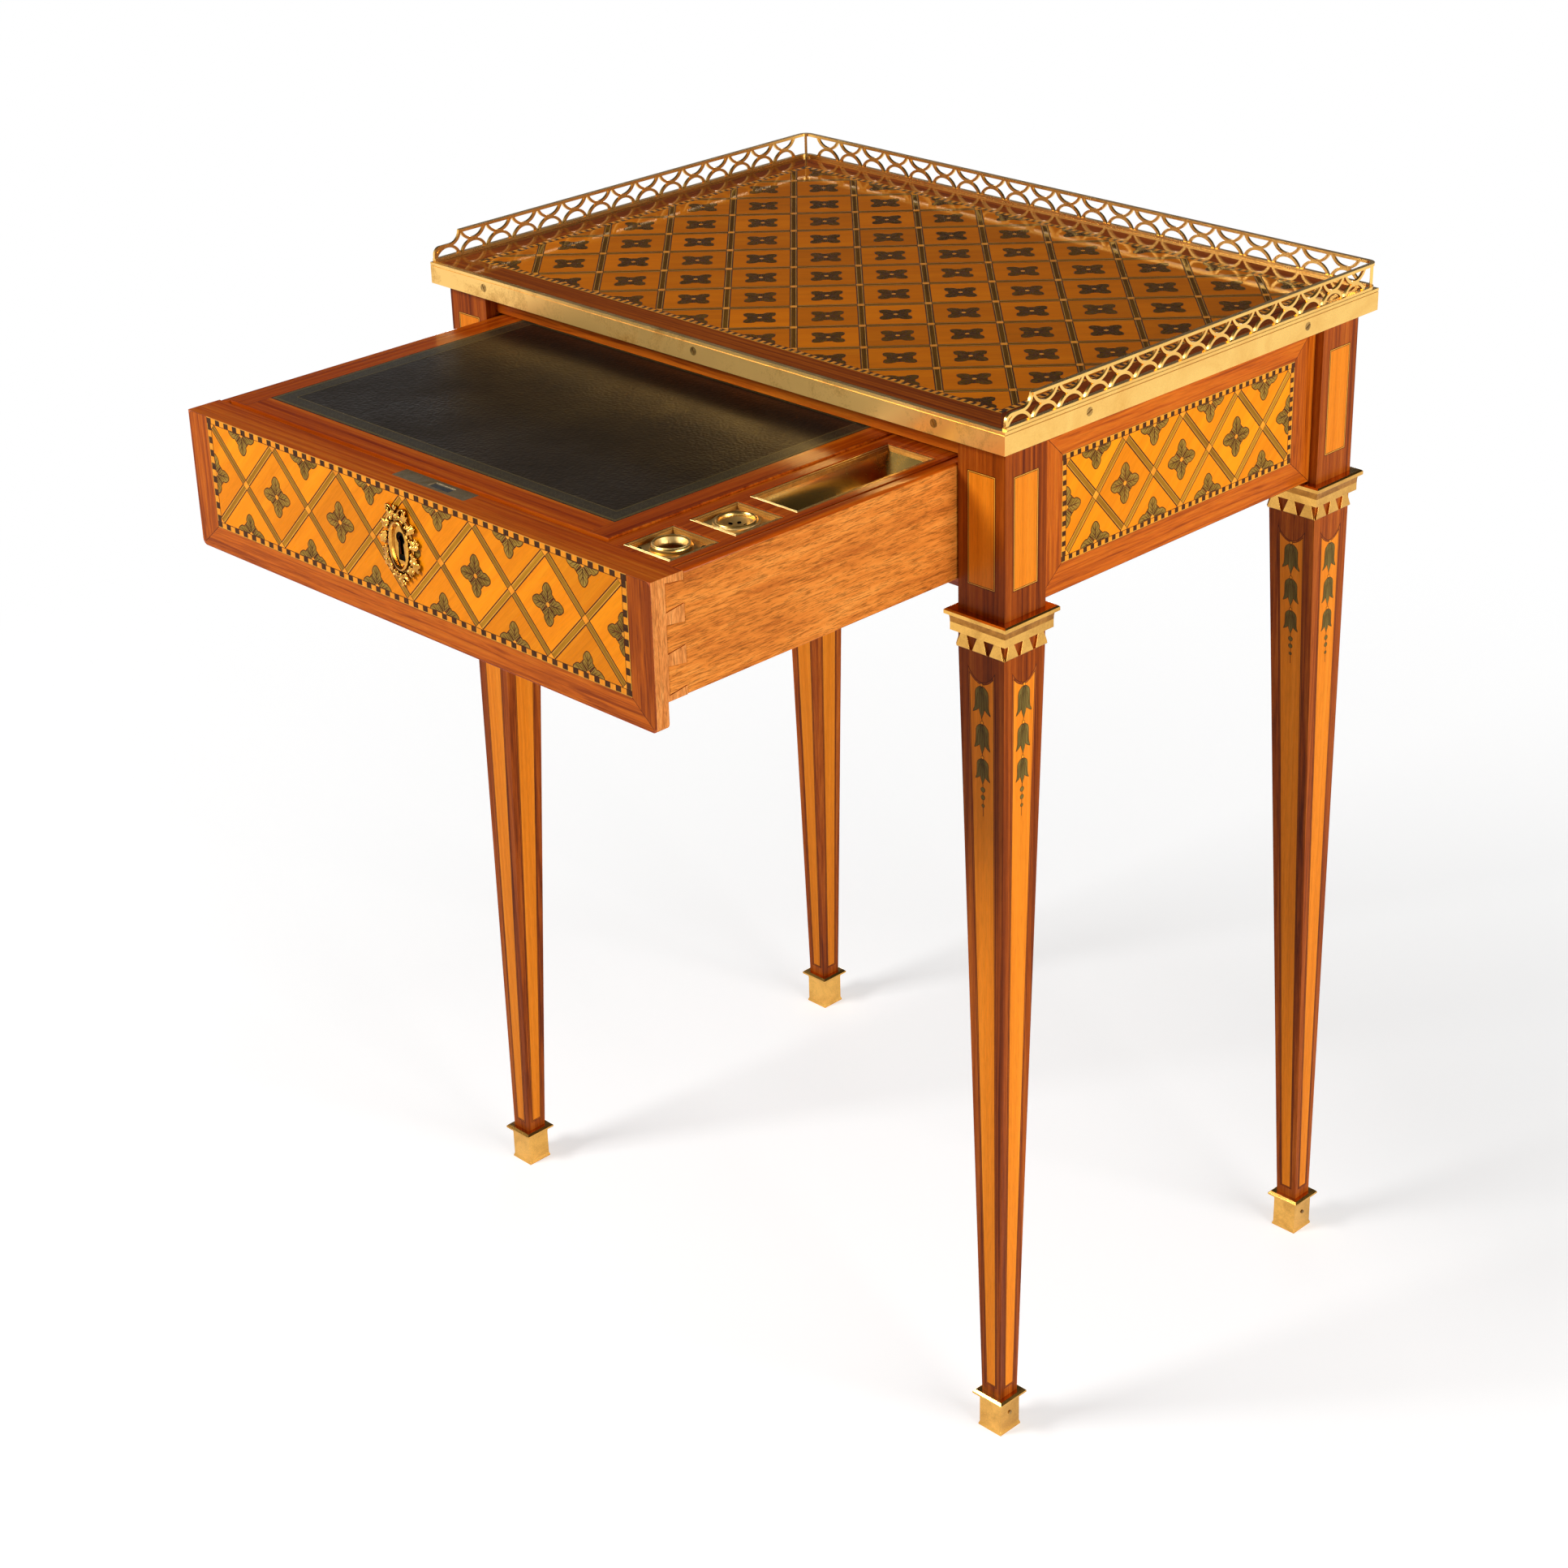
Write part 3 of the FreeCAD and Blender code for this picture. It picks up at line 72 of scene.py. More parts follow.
class Layer(float, Enum):
    """How far each layer of a drawing stands above the face it is laid on, in mm, so that the upper one shows."""

    STRAP = 0.04
    GROUND = 0.05
    TOOLED = 0.08
    STRIP = 0.09
    UPPER_STRIP = 0.1
    CHEQUER = 0.12
    LEAF = 0.14
    CROSSING = 0.15
    BEAD = 0.16
    PETAL = 0.17
    VEIN = 0.18
    EYE = 0.2
    HUSK_VEIN = 0.21


# ---------------------------------------------------------------- bench


def alone(piece: Piece) -> Piece:
    """Leaves edit mode and selects one piece by itself.

    Args:
        piece: the piece to work on.

    Returns:
        The same piece.
    """
    if bpy.context.mode != "OBJECT":
        bpy.ops.object.mode_set(mode="OBJECT")
    bpy.ops.object.select_all(action="DESELECT")
    piece.select_set(True)
    bpy.context.view_layer.objects.active = piece
    return piece


@contextmanager
def opened(piece: Piece, kind: str = "FACE") -> Iterator[None]:
    """Holds a piece in edit mode with all of it selected.

    Args:
        piece: the piece to open.
        kind: what is selected from then on: FACE, EDGE or VERT.
    """
    alone(piece)
    bpy.ops.object.mode_set(mode="EDIT")
    bpy.ops.mesh.select_mode(type=kind)
    bpy.ops.mesh.select_all(action="SELECT")
    yield
    bpy.ops.object.mode_set(mode="OBJECT")


def pick_faces(piece: Piece, test: Callable[[Vector, Vector], bool]) -> int:
    """Selects the faces whose middle and normal pass a test.

    Args:
        piece: a piece that is open.
        test: takes a face's middle in mm and its normal.

    Returns:
        How many faces are selected.
    """
    bpy.ops.mesh.select_all(action="DESELECT")
    mesh = bmesh.from_edit_mesh(piece.data)
    found = [f for f in mesh.faces if test(f.calc_center_median() / MM, f.normal)]
    for face in found:
        face.select_set(True)
    bmesh.update_edit_mesh(piece.data)
    return len(found)


def pick_points(piece: Piece, test: Callable[[Vector], bool]) -> int:
    """Selects the points whose place passes a test.

    Args:
        piece: a piece that is open in VERT or EDGE mode.
        test: takes a point's place in mm.

    Returns:
        How many points are selected.
    """
    bpy.ops.mesh.select_all(action="DESELECT")
    mesh = bmesh.from_edit_mesh(piece.data)
    found = [v for v in mesh.verts if test(v.co / MM)]
    for point in found:
        point.select_set(True)
    mesh.select_flush(True)
    bmesh.update_edit_mesh(piece.data)
    return len(found)


def slide(x: float = 0, y: float = 0, z: float = 0) -> None:
    """Moves what is selected by a distance in mm."""
    bpy.ops.transform.translate(value=(x * MM, y * MM, z * MM))


def stretch(x: float, y: float, z: float = 1, about: Sequence[float] = (0, 0, 0)) -> None:
    """Scales what is selected about a point in mm."""
    bpy.ops.transform.resize(value=(x, y, z), center_override=tuple(c * MM for c in about))


def paint(piece: Piece, test: Callable[[Vector], int]) -> None:
    """Gives every face the finish whose number a test returns.

    Args:
        piece: a piece with more than one finish.
        test: takes a face's middle in mm and returns the finish's number.
    """
    for face in piece.data.polygons:
        face.material_index = test(face.center / MM)


def set_tone(piece: Piece, tone: float) -> None:
    """Makes a piece of veneer lighter or darker than its fellows, by a share of its brightness."""
    layer = piece.data.attributes.get("tone") or piece.data.attributes.new("tone", "FLOAT", "FACE")
    layer.data.foreach_set("value", [tone] * len(piece.data.polygons))


def set_grain(piece: Piece, degrees: float) -> None:
    """Writes the veneer's own map: u runs with the grain and v across it, both in metres.

    Args:
        piece: a piece drawn flat.
        degrees: the grain's direction in the drawing, from the x axis.
    """
    mesh = piece.data
    layer = mesh.uv_layers.get("grain") or mesh.uv_layers.new(name="grain")
    c, s = math.cos(math.radians(degrees)), math.sin(math.radians(degrees))
    for loop in mesh.loops:
        x, y, _ = mesh.vertices[loop.vertex_index].co
        layer.uv[loop.index].vector = (c * x + s * y, c * y - s * x)


def copied(piece: Piece, x: float = 0, y: float = 0, turn: float = 0, tone: float | None = None) -> Piece:
    """Makes a copy with its own mesh.

    Args:
        piece: the pattern.
        x: how far the copy is moved across, in mm.
        y: how far it is moved up.
        turn: how far it is turned in the drawing's plane, in degrees.
        tone: its own tone, where it doesn't keep the pattern's.

    Returns:
        The copy.
    """
    twin = piece.copy()
    twin.data = piece.data.copy()
    bpy.context.scene.collection.objects.link(twin)
    twin.location = (x * MM, y * MM, 0)
    twin.rotation_euler = (0, 0, math.radians(turn))
    if tone is not None:
        set_tone(twin, tone)
    return twin


def joined(name: str, pieces: Sequence[Piece]) -> Piece:
    """Joins pieces into one and settles its place into its mesh.

    Args:
        name: the joined piece's name.
        pieces: the pieces, of which the first keeps its object.

    Returns:
        The joined piece.
    """
    alone(pieces[0])
    for piece in pieces:
        piece.select_set(True)
    if len(pieces) > 1:
        bpy.ops.object.join()
    bpy.ops.object.transform_apply(location=True, rotation=True, scale=True)
    pieces[0].name = pieces[0].data.name = name
    return pieces[0]


def settled(name: str, piece: Piece, x: float = 0, y: float = 0, z: float = 0, turn: float = 0) -> Piece:
    """Puts a piece in its place and settles that into its mesh.

    Args:
        name: the piece's name from then on.
        piece: the piece, modelled about the origin.
        x: where it goes, in mm.
        y: the same along y.
        z: the same along z.
        turn: how far it is turned in the drawing's plane, in degrees.

    Returns:
        The piece.
    """
    piece.rotation_euler = (0, 0, math.radians(turn))
    piece.location = (x * MM, y * MM, z * MM)
    return joined(name, [piece])


def dropped(piece: Piece) -> None:
    """Throws away a piece that only served as a pattern or a tool.

    Args:
        piece: the piece.
    """
    mesh = piece.data
    bpy.data.objects.remove(piece)
    bpy.data.meshes.remove(mesh)


def saw(place: Sequence[float], way: Sequence[float], **after: bool) -> None:
    """Saws through all of an open piece.

    Args:
        place: a place on the cut, in mm.
        way: the way that is square to the cut.
        **after: what bisect does with the cut and the outer part.
    """
    bpy.ops.mesh.select_all(action="SELECT")
    bpy.ops.mesh.bisect(plane_co=tuple(c * MM for c in place), plane_no=tuple(way), **after)


def trimmed(piece: Piece, low: Point, high: Point) -> None:
    """Cuts a flat piece back to a rectangle.

    Args:
        piece: the piece to trim.
        low: the rectangle's lower left corner in mm.
        high: its upper right corner in mm.
    """
    with opened(piece):
        for side, (x, y) in ((-1, low), (1, high)):
            saw((x, 0, 0), (side, 0, 0), clear_outer=True)
            saw((0, y, 0), (0, side, 0), clear_outer=True)


def windowed(piece: Piece, low: Point, high: Point) -> None:
    """Saws a rectangular window out of a flat piece.

    Args:
        piece: the piece to open.
        low: the window's lower left corner in mm.
        high: its upper right corner in mm.
    """
    with opened(piece):
        for x, y in (low, high):
            saw((x, 0, 0), (1, 0, 0))
            saw((0, y, 0), (0, 1, 0))
        if pick_faces(piece, lambda m, n: low[0] < m.x < high[0] and low[1] < m.y < high[1]):
            bpy.ops.mesh.delete(type="FACE")


def rectangle(name: str, low: Point, high: Point, z: float = 0) -> Piece:
    """Draws a flat rectangle from its corners in mm.

    Args:
        name: the piece's name.
        low: its lower left corner.
        high: its upper right corner.
        z: its height in the drawing.

    Returns:
        The piece.
    """
    middle = ((low[0] + high[0]) / 2, (low[1] + high[1]) / 2, z)
    bpy.ops.mesh.primitive_plane_add(size=MM, calc_uvs=False, location=tuple(c * MM for c in middle))
    piece = bpy.context.active_object
    piece.name = piece.data.name = name
    with opened(piece):
        stretch(high[0] - low[0], high[1] - low[1], 1, middle)
    return joined(name, [piece])


def disc(name: str, radius: float, z: float, sides: int = 10, middle: Point = (0, 0)) -> Piece:
    """Draws a flat round piece, or a square on its corner if it has four sides.

    Args:
        name: the piece's name.
        radius: its radius in mm.
        z: its height in the drawing.
        sides: how many sides it has.
        middle: where it lies.

    Returns:
        The piece.
    """
    bpy.ops.mesh.primitive_circle_add(vertices=sides, radius=radius * MM, fill_type="NGON", calc_uvs=False,
                                      location=(middle[0] * MM, middle[1] * MM, z * MM))
    return joined(name, [bpy.context.active_object])


def diamond(name: str, across: float, up: float, z: float) -> Piece:
    """Draws a flat diamond about the origin.

    Args:
        name: the piece's name.
        across: its width in mm.
        up: its height in mm.
        z: its height in the drawing.

    Returns:
        The piece.
    """
    piece = disc(name, 1, z, sides=4)
    with opened(piece):
        stretch(across / 2, up / 2, 1, (0, 0, z))
    return piece


def four_sided(name: str, corners: Sequence[Point], z: float = 0) -> Piece:
    """Draws a flat piece with four corners, each slid to its own place.

    Args:
        name: the piece's name.
        corners: lower left, lower right, upper right and upper left, in mm.
        z: its height in the drawing.

    Returns:
        The piece.
    """
    xs, ys = [c[0] for c in corners], [c[1] for c in corners]
    piece = rectangle(name, (min(xs), min(ys)), (max(xs), max(ys)), z)
    start = [(min(xs), min(ys)), (max(xs), min(ys)), (max(xs), max(ys)), (min(xs), max(ys))]
    with opened(piece, "VERT"):
        for old, new in zip(start, corners):
            if (Vector(old) - Vector(new)).length > SAME:
                pick_points(piece, lambda p: (p.xy - Vector(old)).length < NEAR)
                slide(new[0] - old[0], new[1] - old[1])
    return piece


def grown(name: str, ribs: Sequence[Triple], z: float = 0) -> Piece:
    """Draws a leaf, petal or ribbon by extruding one edge from rib to rib.

    Args:
        name: the piece's name.
        ribs: for each rib its place along x, its middle in y and half its width, in mm.
        z: its height in the drawing.

    Returns:
        The piece.
    """
    (x0, y0, h0), (x1, y1, h1) = ribs[:2]
    piece = four_sided(name, [(x0, y0 - h0), (x1, y1 - h1), (x1, y1 + h1), (x0, y0 + h0)], z)
    with opened(piece, "EDGE"):
        pick_points(piece, lambda p: p.x > x1 - NEAR)
        for (xa, ya, ha), (xb, yb, hb) in zip(ribs[1:], ribs[2:]):
            bpy.ops.mesh.extrude_region_move(TRANSFORM_OT_translate={"value": ((xb - xa) * MM, (yb - ya) * MM, 0)})
            stretch(1, hb / ha, 1, (xb, yb, z))
    return piece


def rimmed(piece: Piece, widths: Sequence[float]) -> None:
    """Insets a flat piece once for each line round it. Finish 0 is the outermost line's and the last is the field's.

    Args:
        piece: a piece with one more finish than there are lines.
        widths: the lines' widths from the outside in, in mm.
    """
    with opened(piece):
        for number, width in enumerate(widths):
            bpy.ops.mesh.inset(thickness=width * MM, use_even_offset=True)
            mesh = bmesh.from_edit_mesh(piece.data)
            for face in mesh.faces:
                if face.select:
                    face.material_index = number + 1
            bmesh.update_edit_mesh(piece.data)


def dressed(piece: Piece, *finishes: bpy.types.Material) -> Piece:
    """Gives a piece its finishes in place of any that it had.

    Args:
        piece: the piece.
        *finishes: its finishes in the order of their numbers.

    Returns:
        The piece.
    """
    piece.data.materials.clear()
    for finish in finishes:
        piece.data.materials.append(finish)
    return piece


def modified(piece: Piece, kind: str, **settings: object) -> None:
    """Adds one modifier with its settings and applies it.

    Args:
        piece: the piece to change.
        kind: the modifier's type.
        **settings: its settings by name.
    """
    alone(piece)
    made = piece.modifiers.new(kind, kind)
    for key, value in settings.items():
        setattr(made, key, value)
    bpy.ops.object.modifier_apply(modifier=made.name)


def cut_with(piece: Piece, tool: Piece, operation: str = "DIFFERENCE") -> None:
    """Cuts a piece with a tool, or makes one of the two, and throws the tool away.

    Args:
        piece: the piece to change.
        tool: a closed piece.
        operation: DIFFERENCE to cut, UNION to make one.
    """
    modified(piece, "BOOLEAN", object=tool, operation=operation, solver="EXACT")
    dropped(tool)


def lathed(name: str, profile: Sequence[Point], middle: Sequence[float] = (0, 0, 0), ratio: float = 1,
           hollow: bool = False, sides: int = 40) -> Piece:
    """Builds a round or oval moulding ring by ring, as a lathe leaves it.

    Args:
        name: the piece's name.
        profile: for each ring its radius across x and its height, in mm; a hollow one ends where it starts.
        middle: where the axis stands.
        ratio: the oval's height over its width.
        hollow: whether the piece is a ring with a hole, or a solid boss.
        sides: how many facets go round.

    Returns:
        The piece.
    """
    (radius, height), rest = profile[0], profile[1:]
    foot = (middle[0], middle[1], middle[2] + height)
    bpy.ops.mesh.primitive_circle_add(vertices=sides, radius=radius * MM, calc_uvs=False,
                                      fill_type="NOTHING" if hollow else "NGON", location=tuple(c * MM for c in foot))
    piece = bpy.context.active_object
    with opened(piece, "EDGE" if hollow else "FACE"):
        stretch(1, ratio, 1, foot)
        tall = radius * ratio
        for new, level in rest:
            bpy.ops.mesh.extrude_region_move(TRANSFORM_OT_translate={"value": (0, 0, (level - height) * MM)})
            stretch(new / radius, (tall + new - radius) / tall, 1, foot)
            tall, radius, height = tall + new - radius, new, level
        bpy.ops.mesh.select_all(action="SELECT")
        bpy.ops.mesh.remove_doubles(threshold=1e-6)
        bpy.ops.mesh.normals_make_consistent(inside=False)
    return joined(name, [piece])


def moulded(name: str, half: Point, steps: Sequence[Point], middle: Sequence[float], sheet: float = 0.35) -> Piece:
    """Builds a rectangular frame with a moulding that goes in step by step.

    Args:
        name: the piece's name.
        half: half its outer width and depth, in mm.
        steps: for each step its width and its rise, from the outside in.
        middle: the middle of its outer edge.
        sheet: how thick its metal is.

    Returns:
        The piece.
    """
    low, high = (middle[0] - half[0], middle[1] - half[1]), (middle[0] + half[0], middle[1] + half[1])
    piece = rectangle(name, low, high, middle[2])
    with opened(piece):
        for width, rise in steps:
            bpy.ops.mesh.inset(thickness=width * MM, use_even_offset=True)
            slide(z=rise)
        bpy.ops.mesh.delete(type="FACE")
    modified(piece, "SOLIDIFY", thickness=sheet * MM, offset=-1, use_even_offset=True)
    return piece


def smoothed(piece: Piece, degrees: float = 40) -> Piece:
    """Shades a piece smooth across its blunter edges.

    Args:
        piece: the piece.
        degrees: the angle from which an edge stays sharp.

    Returns:
        The piece.
    """
    alone(piece)
    bpy.ops.object.shade_smooth_by_angle(angle=math.radians(degrees))
    return piece


def part_painted(piece: Piece, finishes: Sequence[bpy.types.Material], test: Callable[[Vector, Vector], int]) -> Piece:
    """Gives each face of a piece one of several finishes.

    Args:
        piece: the piece.
        finishes: the finishes in the order of their numbers.
        test: takes a face's middle in mm and its normal, and returns the finish's number.

    Returns:
        The piece.
    """
    dressed(piece, *finishes)
    for face in piece.data.polygons:
        face.material_index = test(face.center / MM, face.normal)
    return piece


@dataclass(frozen=True)
class Bed:
    """A flat face of the carcase that a drawing is laid on: its origin in mm, and which ways x and y go."""

    origin: Vector
    across: Vector
    up: Vector

    def lay(self, piece: Piece) -> Piece:
        """Lays a drawn piece on this face.

        Args:
            piece: the piece, drawn flat about the bed's origin.

        Returns:
            The piece.
        """
        out = self.across.cross(self.up)
        turn = Matrix((self.across, self.up, out)).transposed().to_4x4()
        piece.matrix_world = Matrix.Translation(self.origin * MM) @ turn
        return joined(piece.name, [piece])

    @staticmethod
    def facing(out: Sequence[float], origin: Sequence[float]) -> "Bed":
        """Makes a bed on an upright face, or on a level one where out points up.

        Args:
            out: the face's normal.
            origin: the bed's origin in mm.

        Returns:
            The bed.
        """
        way = Vector(out)
        if way.z > 0.5:
            return Bed(Vector(origin), Vector((1, 0, 0)), Vector((0, 1, 0)))
        return Bed(Vector(origin), Vector((0, 0, 1)).cross(way), Vector((0, 0, 1)))


def placed(piece: Piece, body: str, bed: Bed | None = None, thick: float = 0) -> Piece:
    """Finishes a new piece: lays it on its bed, gives a veneer its thickness, and ties it to its body.

    Args:
        piece: the piece.
        body: the moving body that it rides on.
        bed: where a drawn piece is laid.
        thick: how deep a veneer is let in, in mm.

    Returns:
        The piece.
    """
    if bed:
        bed.lay(piece)
    if thick:
        modified(piece, "SOLIDIFY", thickness=thick * MM, offset=-1, use_even_offset=True)
    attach(piece, body)
    LOG.info("%s: %d faces on %s", piece.name, len(piece.data.polygons), body)
    return piece


# ------------------------------------------------------------- finishes


def linear(colour: str) -> tuple[float, float, float, float]:
    """Turns an sRGB hex colour to linear values with full alpha."""
    parts = [int(colour[i:i + 2], 16) / 255 for i in (1, 3, 5)]
    return (*(c / 12.92 if c <= 0.04045 else ((c + 0.055) / 1.055) ** 2.4 for c in parts), 1.0)


def add(tree: bpy.types.NodeTree, kind: str, feeds: dict | None = None,
        stops: Sequence[tuple[float, str]] = (), **settings: object) -> bpy.types.Node:
    """Adds one shader node.

    Args:
        tree: the material's node tree.
        kind: the node's type.
        feeds: for each input, by name or number, an output to link or a value.
        stops: a colour ramp's places and hex colours.
        **settings: the node's own settings.

    Returns:
        The node.
    """
    node = tree.nodes.new(kind)
    for key, value in settings.items():
        setattr(node, key, value)
    for key, value in (feeds or {}).items():
        if isinstance(value, bpy.types.NodeSocket):
            tree.links.new(value, node.inputs[key])
        else:
            node.inputs[key].default_value = linear(value) if isinstance(value, str) else value
    for number, (place, colour) in enumerate(stops):
        spots = node.color_ramp.elements
        spot = spots[number] if number < 2 else spots.new(place)
        spot.position, spot.color = place, linear(colour)
    return node


def blank(name: str) -> tuple[bpy.types.Material, bpy.types.NodeTree]:
    """Starts a material.

    Args:
        name: the material's name.

    Returns:
        The material, and its empty node tree.
    """
    made = bpy.data.materials.new(name)
    made.use_nodes = True
    made.node_tree.nodes.clear()
    return made, made.node_tree


class Grain(Enum):
    """Which way a wood's grain runs: with the veneer's own map, or along an axis of the table."""

    DRAWN = None
    ALONG_X = (0.0, 0.0, 0.0)
    ALONG_Y = (0.0, 0.0, -math.pi / 2)
    ALONG_Z = (0.0, math.pi / 2, 0.0)


@dataclass(frozen=True)
class Wood:
    """A polished wood. Its figure is streaks that follow the grain, and its pores are short dark fibres."""

    name: str
    dark: str
    middle: str
    pale: str
    streak: float = 2.4
    length: float = 190
    spread: Triple = (0.36, 0.5, 0.66)
    wave: float = 0.35
    pore: float = 0.9
    fibre: float = 14
    pores: float = 0.16
    edge: tuple[float, float] = (0.3, 0.6)
    polish: float = 0.3
    shine: float = 0.07

    def finish(self, grain: Grain = Grain.DRAWN) -> bpy.types.Material:
        """Makes this wood with its grain one way, or finds it if it is made.

        Args:
            grain: which way the grain runs.

        Returns:
            The material.
        """
        name = f"{self.name}_{grain.name.lower()}"
        if name in bpy.data.materials:
            return bpy.data.materials[name]
        made, tree = blank(name)
        tone = add(tree, "ShaderNodeAttribute", attribute_name="tone")
        if grain is Grain.DRAWN:
            turned = add(tree, "ShaderNodeUVMap", uv_map="grain").outputs["UV"]
        else:
            place = add(tree, "ShaderNodeTexCoord").outputs["Object"]
            turned = add(tree, "ShaderNodeMapping", {"Vector": place, "Rotation": grain.value}).outputs[0]
        # Each leaf of veneer shows another part of the log.
        moved = add(tree, "ShaderNodeVectorMath", {0: tone.outputs["Vector"], 1: (3.1, 1.7, 2.3), 2: turned},
                    operation="MULTIPLY_ADD").outputs[0]
        # Streaks are as wide as the growth rings cut by the saw, and many times as long.
        long, wide = 1 / (self.length * MM), 1 / (self.streak * MM)
        drawn = add(tree, "ShaderNodeMapping", {"Vector": moved, "Scale": (long, wide, wide)}).outputs[0]
        fine = add(tree, "ShaderNodeTexNoise", {"Vector": drawn, "Scale": 1.0, "Detail": 4.0, "Roughness": 0.6,
                                                "Distortion": self.wave}).outputs["Fac"]
        broad = add(tree, "ShaderNodeTexNoise", {"Vector": drawn, "Scale": 0.2, "Detail": 2.0,
                                                 "Distortion": self.wave}).outputs["Fac"]
        figure = add(tree, "ShaderNodeMix", {"Factor": 0.42, "A": fine, "B": broad}).outputs[0]
        ring = add(tree, "ShaderNodeValToRGB", {"Fac": figure},
                   stops=((self.spread[0], self.dark), (self.spread[1], self.middle), (self.spread[2], self.pale)))
        # Real pores are about 0.1 mm wide. They are drawn as wide as they need to be to show from across a room.
        thin = 1 / (self.pore * MM)
        pores = add(tree, "ShaderNodeMapping", {"Vector": moved, "Scale": (thin / self.fibre, thin, thin)}).outputs[0]
        pores = add(tree, "ShaderNodeTexNoise", {"Vector": pores, "Scale": 1.0, "Detail": 3.0,
                                                 "Roughness": 0.7}).outputs["Fac"]
        shade = add(tree, "ShaderNodeMapRange", {
            "Value": pores, "From Min": self.edge[0], "From Max": self.edge[1],
            "To Min": 1 - 2 * self.pores, "To Max": 1 + 0.3 * self.pores}).outputs[0]
        bright = add(tree, "ShaderNodeMath", {0: tone.outputs["Fac"], 1: shade, 2: shade},
                     operation="MULTIPLY_ADD").outputs[0]
        colour = add(tree, "ShaderNodeHueSaturation", {"Color": ring.outputs["Color"], "Value": bright}).outputs[0]
        gloss = add(tree, "ShaderNodeMapRange", {"Value": pores, "From Min": 0.3, "From Max": 0.7,
                                                 "To Min": 1.35 * self.polish, "To Max": 0.85 * self.polish}).outputs[0]
        # Polish fills the pores, so the glossier the wood is, the flatter it lies.
        lie = add(tree, "ShaderNodeBump", {"Height": pores, "Strength": 0.4 * self.polish,
                                           "Distance": 0.2 * MM}).outputs[0]
        shader = add(tree, "ShaderNodeBsdfPrincipled", {
            "Base Color": colour, "Roughness": gloss, "IOR": 1.5, "Specular IOR Level": self.shine, "Normal": lie})
        add(tree, "ShaderNodeOutputMaterial", {"Surface": shader.outputs[0]})
        return made


@dataclass(frozen=True)
class Metal:
    """A worked metal with a patina. Rubbed places are clean and bright, and the rest is dull."""

    name: str
    clean: str
    dull: str
    patch: float = 30
    cover: tuple[float, float] = (0.45, 0.7)
    rough: tuple[float, float] = (0.2, 0.38)
    dents: float = 0.1
    shaded_hollows: float = 0.0

    def finish(self) -> bpy.types.Material:
        """Makes this metal, or finds it if it is made.

        Returns:
            The material.
        """
        if self.name in bpy.data.materials:
            return bpy.data.materials[self.name]
        made, tree = blank(self.name)
        place = add(tree, "ShaderNodeTexCoord").outputs["Object"]
        cloud = add(tree, "ShaderNodeTexNoise", {"Vector": place, "Scale": 1 / (self.patch * MM), "Detail": 5.0,
                                                 "Roughness": 0.62, "Distortion": 0.9}).outputs["Fac"]
        # Handling leaves fine specks and rubs, drawn at about 1 mm so that they show.
        speck = add(tree, "ShaderNodeTexNoise", {"Vector": place, "Scale": 0.9 / MM, "Detail": 3.0,
                                                 "Roughness": 0.7}).outputs["Fac"]
        mixed = add(tree, "ShaderNodeMix", {"Factor": 0.24, "A": cloud, "B": speck}).outputs[0]
        patina = add(tree, "ShaderNodeMapRange", {"Value": mixed, "From Min": self.cover[0], "From Max": self.cover[1]})
        colour = add(tree, "ShaderNodeMix", {0: patina.outputs[0], 6: self.clean, 7: self.dull},
                     data_type="RGBA").outputs[2]
        # Painted shade: the colour is darkened towards a deep brown where walls stand within a few millimetres, as
        # ambient occlusion finds them.
        if self.shaded_hollows:
            depth = add(tree, "ShaderNodeAmbientOcclusion", {"Distance": 2.6 * MM}, samples=8).outputs["AO"]
            depth = add(tree, "ShaderNodeMapRange", {"Value": depth, "From Min": 0.3, "From Max": 0.86,
                                                     "To Min": self.shaded_hollows, "To Max": 0.0}).outputs[0]
            colour = add(tree, "ShaderNodeMix", {0: depth, 6: colour, 7: "#1E0E04"},
                         data_type="RGBA").outputs[2]
        gloss = add(tree, "ShaderNodeMapRange", {"Value": patina.outputs[0], "To Min": self.rough[0],
                                                 "To Max": self.rough[1]}).outputs[0]
        lie = add(tree, "ShaderNodeBump", {"Height": mixed, "Strength": self.dents, "Distance": 0.6 * MM}).outputs[0]
        shader = add(tree, "ShaderNodeBsdfPrincipled", {"Base Color": colour, "Metallic": 1.0, "Roughness": gloss,
                                                        "Normal": lie})
        add(tree, "ShaderNodeOutputMaterial", {"Surface": shader.outputs[0]})
        return made


